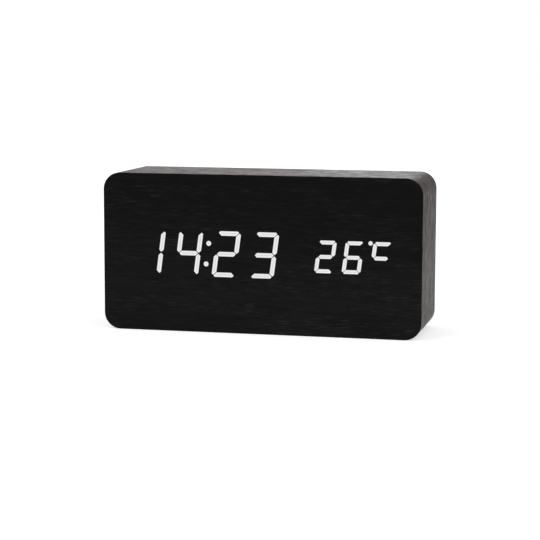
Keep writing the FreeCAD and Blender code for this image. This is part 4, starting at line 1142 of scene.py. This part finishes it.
@dataclass
class RearCover(Assembly):
    """The moulded cover, its screws, the signs on it and the rims round its openings."""

    height: float = 0.25 * MM
    stroke: float = 0.45 * MM
    medium: float = 0.8  # share of the stroke, as the next two
    thin: float = 0.7
    fine: float = 0.6
    sign: float = 1.5 * MM
    sign_gap: float = 2.4 * MM
    arrowhead: float = 1.2  # its radius next to that of the ring sign
    edge_inset: float = 1.6 * MM
    edge_corner: float = 3.2 * MM
    grille_rim: float = 5.6 * MM
    grille_sides: int = 48
    socket_rim: float = 4.6 * MM
    socket_sides: int = 40
    polarity_drop: float = 7.6 * MM
    pin_dot: float = 0.55 * MM
    shell_ring: float = 1.5 * MM
    link_reach: float = 2.5 * MM
    link_length: float = 2.1 * MM
    pole_reach: float = 4.7 * MM
    pole_ring: float = 1.3 * MM
    pole_sign: float = 1.2 * MM
    ink: Colour = (0.24, 0.24, 0.235)

    def dress(self, dresser: Dresser) -> None:
        """Finishes the solids.

        Args:
            dresser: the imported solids.
        """
        dresser.put(Moulded("cover_plastic", (0.014, 0.014, 0.015), 0.5, depth=0.035 * MM,
                            gloss=0.3), "rear_cover")
        dresser.put(Metal("cover_screw_black", (0.035, 0.034, 0.033), 0.42,
                          stain=(0.3, 0.29, 0.27), stained=0.3), "rear_cover_screws")

    def build(self, dresser: Dresser) -> None:
        """Raises the signs for the buttons and the socket, and rims round the openings.

        Args:
            dresser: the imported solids.
        """
        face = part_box("rear_cover")[1].y
        signs = Raised("cover_signs", face, Side.BACK, self.height)
        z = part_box("up_button")[1].z + self.sign_gap + self.sign
        signs.ring(middle_of("set_button").x, z, self.sign, self.stroke)
        for name, pointing in (("up_button", Pointing.UP), ("down_button", Pointing.DOWN)):
            signs.arrowhead(middle_of(name).x, z, self.sign * self.arrowhead, pointing)
        self._polarity(signs, middle_of("power_socket_pin"))
        ink = Moulded("sign_print", self.ink, 0.6, depth=0.01 * MM, gloss=0.25)
        signs.finish("case", "abs_black", ink.material())

        rims = Raised("cover_rims", face, Side.BACK, self.height)
        self._rims(rims)
        rims.finish("case", "abs_black", dresser.worn("rear_cover"))

    def _rims(self, rims: Raised) -> None:
        """Raises the rims round the buttons, the grille, the socket and the cover's edge.

        Args:
            rims: the set of rims.
        """
        for name in BUTTONS:
            low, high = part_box(name)
            middle = middle_of(name)
            rims.ring(middle.x, middle.z, (high.x - low.x) / 2 + self.stroke,
                      self.stroke * self.medium)
        buzzer, socket = middle_of("buzzer"), middle_of("power_socket_pin")
        rims.ring(buzzer.x, buzzer.z, self.grille_rim, self.stroke, self.grille_sides)
        rims.ring(socket.x, socket.z, self.socket_rim, self.stroke, self.socket_sides)
        low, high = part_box("rear_cover")
        middle = middle_of("rear_cover")
        rims.border(middle.x, middle.z, high.x - low.x - 2 * self.edge_inset,
                    high.z - low.z - 2 * self.edge_inset, self.edge_corner, self.stroke)

    def _polarity(self, signs: Raised, socket: Vector) -> None:
        """Raises the sign of a socket whose pin is positive.

        Args:
            signs: the set of signs.
            socket: middle of the socket's pin.
        """
        z = socket.z - self.polarity_drop
        signs.disc(socket.x, z, self.pin_dot)
        signs.ring(socket.x, z, self.shell_ring, self.stroke * self.medium)
        for side in (-1, 1):
            pole = socket.x + side * self.pole_reach
            signs.bar(socket.x + side * self.link_reach, z, self.link_length,
                      self.stroke * self.medium)
            signs.ring(pole, z, self.pole_ring, self.stroke * self.thin)
            signs.bar(pole, z, self.pole_sign, self.stroke * self.fine)
        signs.bar(socket.x - self.pole_reach, z, self.stroke * self.fine, self.pole_sign)


@dataclass
class BatteryDoor(Assembly):
    """The battery door, with the arrow outside and the cells' pattern inside."""

    body: str = "battery_door_body"
    outside_height: float = 0.25 * MM
    inside_height: float = 0.15 * MM
    thickness: float = 1.8 * MM
    stroke: float = 0.5 * MM
    arrow_drop: float = 13.0 * MM
    arrow_radius: float = 2.0 * MM
    bar_drop: float = 16.4 * MM
    bar_width: float = 5.0 * MM
    frame_drop: float = 4.0 * MM
    frame_width: float = 40.0 * MM
    frame_height: float = 24.0 * MM
    frame_corner: float = 3.0 * MM
    first_sign: float = 5.9 * MM
    sign_pitch: float = 9.1 * MM
    cell_width: float = 38.0 * MM
    cell_gap: float = 1.6 * MM
    cell_corner: float = 1.0 * MM
    cell_stroke: float = 0.8  # share of the stroke
    pole_reach: float = 15.0 * MM
    pole_sign: float = 3.0 * MM
    sign_colour: Colour = (0.045, 0.045, 0.046)

    def dress(self, dresser: Dresser) -> None:
        """Finishes the door."""
        dresser.put(Moulded("door_plastic", (0.0145, 0.0145, 0.0155), 0.48, depth=0.035 * MM,
                            gloss=0.3), "battery_door")

    def build(self, dresser: Dresser) -> None:
        """Raises the signs on both sides of the door.

        Args:
            dresser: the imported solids.
        """
        low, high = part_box("battery_door")
        middle = middle_of("battery_door")
        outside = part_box("rear_cover")[1].y
        arrow = Raised("door_arrow", outside, Side.BACK, self.outside_height)
        arrow.arrowhead(middle.x, high.z - self.arrow_drop, self.arrow_radius, Pointing.DOWN)
        arrow.bar(middle.x, high.z - self.bar_drop, self.bar_width, self.stroke)
        arrow.border(middle.x, middle.z - self.frame_drop, self.frame_width, self.frame_height,
                     self.frame_corner, self.stroke)
        arrow.finish(self.body, "abs_black", dresser.worn("battery_door"))

        signs = Raised("door_cell_signs", outside - self.thickness, Side.FRONT,
                       self.inside_height)
        for number, cell in enumerate(CELLS):
            cell_low, cell_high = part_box(cell)
            x = (cell_low.x + cell_high.x) / 2
            z = low.z + self.first_sign + number * self.sign_pitch
            nub = 1 if number % 2 == 0 else -1
            signs.border(x, z, self.cell_width, self.sign_pitch - self.cell_gap,
                         self.cell_corner, self.stroke * self.cell_stroke)
            signs.cross(x + nub * self.pole_reach, z, self.pole_sign, self.stroke)
            signs.bar(x - nub * self.pole_reach, z, self.pole_sign, self.stroke)
        polished = Moulded("door_sign_polish", self.sign_colour, 0.26, depth=0.005 * MM)
        signs.finish(self.body, "abs_black", polished.material())


@dataclass
class Batteries(Assembly):
    """Cells in printed sleeves, with springs and plates."""

    sleeve: float = 0.07 * MM
    lip: float = 1.1 * MM
    bend: float = 0.62 * MM
    bend_cut: float = 0.16 * MM
    inner_start: float = 0.4 * MM
    inner_wall: float = 0.5 * MM
    sleeve_sides: int = 56
    nub_height: float = 0.8 * MM
    band: float = 6.5 * MM
    seal_sink: float = 0.02 * MM
    seal_height: float = 0.15 * MM
    seal_inner: float = 2.3 * MM
    seal_outer: float = 3.2 * MM
    seal_sides: int = 32
    body_colour: Colour = (0.06, 0.085, 0.1)
    band_colour: Colour = (0.72, 0.72, 0.7)

    def dress(self, dresser: Dresser) -> None:
        """Finishes the solids.

        Args:
            dresser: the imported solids.
        """
        dresser.put(Metal("cell_steel", (0.7, 0.69, 0.67), 0.24, stained=0.12), *CELLS)
        dresser.put(Metal("spring_steel", (0.6, 0.59, 0.57), 0.22,
                          lines=(1200.0, 1200.0, 1200.0)), "battery_springs")
        dresser.put(Metal("plate_nickel", (0.66, 0.63, 0.56), 0.28,
                          lines=(2500.0, 260.0, 2500.0)), "battery_contact_plates",
                    "battery_lead_tabs")

    def build(self, dresser: Dresser) -> None:
        """Adds a sleeve on each cell, rolled over both ends, and the ring round the nub.

        Args:
            dresser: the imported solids.
        """
        seals = Piece("cell_nub_seals")
        for number, cell in enumerate(CELLS, start=1):
            low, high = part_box(cell)
            middle = middle_of(cell)
            nub_side = 1 if number % 2 else -1
            flat, tip = (low.x, high.x) if nub_side > 0 else (high.x, low.x)
            shoulder = tip - nub_side * self.nub_height
            length = abs(shoulder - flat)
            origin = Vector((flat, middle.y, middle.z))
            axis = Vector((nub_side, 0, 0))
            sleeve = Piece(f"cell_sleeve_{number}")
            sleeve.lathe(self._sleeve_outline(length, (high.z - low.z) / 2), origin, axis,
                         self.sleeve_sides)
            wrap = Wrap(f"cell_wrap_{number}", self.body_colour, self.band_colour,
                        shoulder - nub_side * self.band, nub_side)
            sleeve.finish("case", "cell_wrap", wrap.material())
            base, top = length - self.seal_sink, length + self.seal_height
            seals.lathe([(base, self.seal_inner), (top, self.seal_inner),
                         (top, self.seal_outer), (base, self.seal_outer)], origin, axis,
                        self.seal_sides)
        white = Moulded("nub_seal_white", (0.62, 0.62, 0.6), 0.5, variation=0.06)
        seals.finish("case", "cell_wrap", white.material())

    def _sleeve_outline(self, length: float, radius: float) -> list[Range]:
        """Draws the section of a sleeve, with a bend over each end of its cell.

        Args:
            length: length of the cell's can.
            radius: radius of the can.

        Returns:
            The closed outline as (distance along the axis, radius).
        """
        t = self.sleeve
        lip, bend, cut = radius - self.lip, radius - self.bend, radius - self.bend_cut + t
        inner = radius - self.inner_wall
        return [(-t, lip), (-t, bend), (self.bend_cut - t, cut), (self.bend, radius + t),
                (length - self.bend, radius + t), (length - self.bend_cut + t, cut),
                (length + t, bend), (length + t, lip), (length - t, lip),
                (length - self.inner_start, inner), (self.inner_start, inner), (t, lip)]


@dataclass
class MainBoard(Assembly):
    """The main board, everything soldered to it, and the solder itself."""

    joint_radius: float = 0.55 * MM
    joint_height: float = 0.4 * MM
    level_error: float = 0.02 * MM
    lead_spread: float = 1.1 * MM

    def dress(self, dresser: Dresser) -> None:
        """Finishes the solids.

        Args:
            dresser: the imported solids.
        """
        dresser.put(CircuitBoard("main_board_green"), "main_board")
        dresser.put(Metal("main_screw_steel", (0.62, 0.61, 0.58)), "main_board_screws")
        dresser.put(Moulded("controller_epoxy", (0.014, 0.014, 0.015), 0.5), "controller_chip")
        dresser.put(Moulded("buzzer_plastic", (0.012, 0.012, 0.012), 0.4), "buzzer")
        dresser.put(Moulded("socket_plastic", (0.011, 0.011, 0.012), 0.38), "power_socket")
        dresser.put(Moulded("switch_plastic", (0.02, 0.02, 0.02), 0.42), "switch_housings")
        dresser.put(Moulded("coin_holder_plastic", (0.015, 0.015, 0.016), 0.45),
                    "coin_cell_holder")
        dresser.put(Moulded("main_connector_nylon", (0.72, 0.7, 0.64), 0.4, variation=0.05),
                    "main_connector")
        dresser.put(Metal("lead_tin", (0.72, 0.71, 0.68), 0.3), "controller_pins",
                    "switch_legs", "microphone_leads", "thermistor_leads")
        dresser.put(Metal("contact_nickel", (0.7, 0.67, 0.6), 0.2), "power_socket_pin",
                    "coin_cell_clip")
        dresser.put(Metal("can_steel", (0.68, 0.68, 0.67), 0.22), "crystal", "coin_cell",
                    "microphone")
        dresser.put(Moulded("capacitor_sleeve", (0.012, 0.014, 0.03), 0.3, variation=0.3),
                    "smoothing_capacitors")
        dresser.put(Moulded("resistor_film", (0.018, 0.018, 0.02), 0.3), "chip_resistors")
        dresser.put(Moulded("thermistor_resin", (0.02, 0.045, 0.02), 0.25, variation=0.3),
                    "thermistor")

    def build(self, dresser: Dresser) -> None:
        """Adds the solder joints on both sides of the board.

        Args:
            dresser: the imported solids.
        """
        low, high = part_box("main_board")
        joints = Piece("main_board_solder")
        for name in ("microphone_leads", "thermistor_leads", "switch_legs"):
            for x, z in self._feet(dresser.nodes[name], high.y):
                for level, out in ((low.y, -1), (high.y, 1)):
                    joints.dome(Vector((x, level, z)), Vector((0, out, 0)), self.joint_radius,
                                self.joint_height)
        solder = Metal("solder", (0.66, 0.66, 0.65), 0.2, lines=(700.0, 700.0, 700.0))
        joints.finish("case", "tin", solder.material())

    def _feet(self, node: bpy.types.Object, level: float) -> list[Range]:
        """Finds where the separate leads of a node meet the board.

        Args:
            node: a node whose leads stand on the board.
            level: Y of the board's face.

        Returns:
            One (x, z) for each lead, the middle of its foot.
        """
        feet: list[list[Vector]] = []
        for vertex in node.data.vertices:
            if abs(vertex.co.y - level) > self.level_error:
                continue
            for group in feet:
                if (group[0] - vertex.co).length < self.lead_spread:
                    group.append(vertex.co.copy())
                    break
            else:
                feet.append([vertex.co.copy()])
        return [(sum(v.x for v in foot) / len(foot), sum(v.z for v in foot) / len(foot))
                for foot in feet]


@dataclass
class Controls(Assembly):
    """The three buttons and the plungers under them."""

    ring_height: float = 0.12 * MM
    ring_radius: float = 2.5 * MM
    ring_stroke: float = 0.4 * MM
    ring_sides: int = 36

    def dress(self, dresser: Dresser) -> None:
        """Finishes the solids.

        Args:
            dresser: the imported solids.
        """
        dresser.put(Moulded("button_plastic", (0.022, 0.022, 0.023), 0.38, depth=0.01 * MM),
                    *BUTTONS)
        dresser.put(Moulded("plunger_plastic", (0.05, 0.05, 0.052), 0.4), "set_switch_plunger",
                    "up_switch_plunger", "down_switch_plunger")

    def build(self, dresser: Dresser) -> None:
        """Adds a raised finger ring on each cap.

        Args:
            dresser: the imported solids.
        """
        for name in BUTTONS:
            middle = middle_of(name)
            ring = Raised(f"{name}_ring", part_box(name)[1].y, Side.BACK, self.ring_height)
            ring.ring(middle.x, middle.z, self.ring_radius, self.ring_stroke, self.ring_sides)
            ring.finish(f"{name}_body", "button_black", dresser.worn(name))


@dataclass
class Wiring(Assembly):
    """The ribbon and the two battery leads."""

    red: Colour = (0.42, 0.012, 0.01)
    black: Colour = (0.014, 0.014, 0.014)

    def dress(self, dresser: Dresser) -> None:
        """Finishes the solids.

        Args:
            dresser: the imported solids.
        """
        low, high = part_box("ribbon_cable")
        dresser.put(Ribbed("ribbon_grey", (low.x + high.x) / 2, high.x - low.x), "ribbon_cable")
        dresser.put(Moulded("lead_red", self.red, 0.4, variation=0.12), "red_battery_lead")
        dresser.put(Moulded("lead_black", self.black, 0.4), "black_battery_lead")


# ------------------------------------------------------------------ surroundings
@dataclass(frozen=True)
class Lamp:
    """A soft square lamp: its name, place, length of side and power in watts."""

    name: str
    place: Triple
    size: float
    power: float

    def hang(self, target: Vector) -> None:
        """Adds the lamp to the scene.

        Args:
            target: the point that it looks at.
        """
        data = bpy.data.lights.new(self.name, "AREA")
        data.size = self.size
        data.energy = self.power
        lamp = add_object(self.name, data)
        lamp.location = self.place
        lamp.rotation_mode = "QUATERNION"
        lamp.rotation_quaternion = (Vector(self.place) - target).to_track_quat("Z", "Y")


@dataclass
class Studio:
    """Camera, lamps, floor and background."""

    distance: float = 816.8 * MM
    target_height: float = 36.75 * MM
    yaw: float = math.radians(12.97)
    pitch: float = math.radians(6.75)
    look_yaw: float = math.radians(13.0)
    look_pitch: float = math.radians(7.42)
    roll: float = math.radians(0.19)
    lens: float = 115.47
    sensor: float = 36.0
    clip: Range = (0.01, 50.0)
    ambient: float = 0.62
    floor_white: float = 0.84
    floor_shade: float = 0.995
    floor_cloud: float = 3.0
    floor_lift: float = 0.5
    floor_size: float = 6.0
    floor_drop: float = 0.1 * MM
    lamps: tuple[Lamp, ...] = (
        Lamp("lamp_left", (-0.9, -1.1, 1.2), 0.9, 7.0),
        Lamp("lamp_right", (1.1, -0.5, 0.9), 0.9, 4.5),
        Lamp("lamp_back", (-0.5, 2.0, 0.45), 1.0, 4.0),
        Lamp("lamp_corner", (-0.19, 2.0, 0.24), 0.4, 1.6),
    )

    def build(self) -> None:
        """Builds everything that isn't the clock."""
        target = Vector((0, 0, self.target_height))
        self._camera(target)
        self._world()
        self._floor()
        for lamp in self.lamps:
            lamp.hang(target)
        bpy.context.scene.view_settings.view_transform = "Standard"

    @staticmethod
    def _away(yaw: float, pitch: float) -> Vector:
        """Direction from the clock at two angles."""
        return Vector((math.sin(yaw) * math.cos(pitch), -math.cos(yaw) * math.cos(pitch),
                       math.sin(pitch)))

    def _camera(self, target: Vector) -> None:
        """Places the camera and makes it the scene's.

        Args:
            target: the point of the clock that its distance is measured from.
        """
        back = self._away(self.look_yaw, self.look_pitch)
        level = Vector((math.cos(self.look_yaw), math.sin(self.look_yaw), 0.0))
        up = back.cross(level)
        right = level * math.cos(self.roll) + up * math.sin(self.roll)
        up = up * math.cos(self.roll) - level * math.sin(self.roll)
        data = bpy.data.cameras.new("camera")
        data.lens = self.lens
        data.sensor_width = self.sensor
        data.clip_start, data.clip_end = self.clip
        camera = add_object("camera", data)
        turn = Matrix((right, up, back)).transposed().to_4x4()
        place = target + self._away(self.yaw, self.pitch) * self.distance
        camera.matrix_world = Matrix.Translation(place) @ turn
        bpy.context.scene.camera = camera

    def _world(self) -> None:
        """White behind the clock and in its reflections, plain grey light from all round."""
        graph = Graph("surroundings", world=True)
        strength = graph.spread(graph.in_sight(), 0.0, 1.0, self.ambient, 1.0)
        shader = graph.add("ShaderNodeBackground", {"Color": (1.0, 1.0, 1.0, 1.0),
                                                    "Strength": strength})
        graph.end(shader, "ShaderNodeOutputWorld")
        bpy.context.scene.world = graph.owner

    def _floor(self) -> None:
        """A wide pale floor that keeps the clock's shadow."""
        graph = Graph("floor_paper")
        white = (self.floor_white,) * 3
        colour = graph.mix(graph.noise(self.floor_cloud, detail=2.0),
                           shaded(white, self.floor_shade), white)
        diffuse = graph.add("ShaderNodeBsdfDiffuse", {"Color": colour})
        lift = graph.maths("MULTIPLY", graph.in_sight(), self.floor_lift)
        glow = graph.add("ShaderNodeEmission", {"Strength": lift})
        graph.end(graph.add("ShaderNodeAddShader", {0: diffuse.outputs[0], 1: glow.outputs[0]}))
        shape = bmesh.new()
        bmesh.ops.create_grid(shape, x_segments=2, y_segments=2, size=self.floor_size)
        bmesh.ops.translate(shape, vec=(0.0, 0.0, -self.floor_drop), verts=shape.verts)
        data = bpy.data.meshes.new("floor")
        shape.to_mesh(data)
        shape.free()
        data.materials.append(graph.owner)
        add_object("floor", data)


def build_clock(nodes: dict[str, bpy.types.Object]) -> None:
    """Dresses the solids and adds the new pieces, one sub-assembly after another.

    Args:
        nodes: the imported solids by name.
    """
    dresser = Dresser(nodes)
    for part in (Case(), Display(), RearCover(), BatteryDoor(), Batteries(), MainBoard(),
                 Controls(), Wiring()):
        part.dress(dresser)
        part.build(dresser)
    if dresser.bare():
        raise ValueError(f"nodes without a finish: {dresser.bare()}")


def main() -> None:
    """Loads the solids, builds the clock and the studio."""
    logging.basicConfig(level=logging.INFO, format="%(name)s: %(message)s")
    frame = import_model()
    build_clock(frame["nodes"])
    Studio().build()


if __name__ == "__main__":
    main()
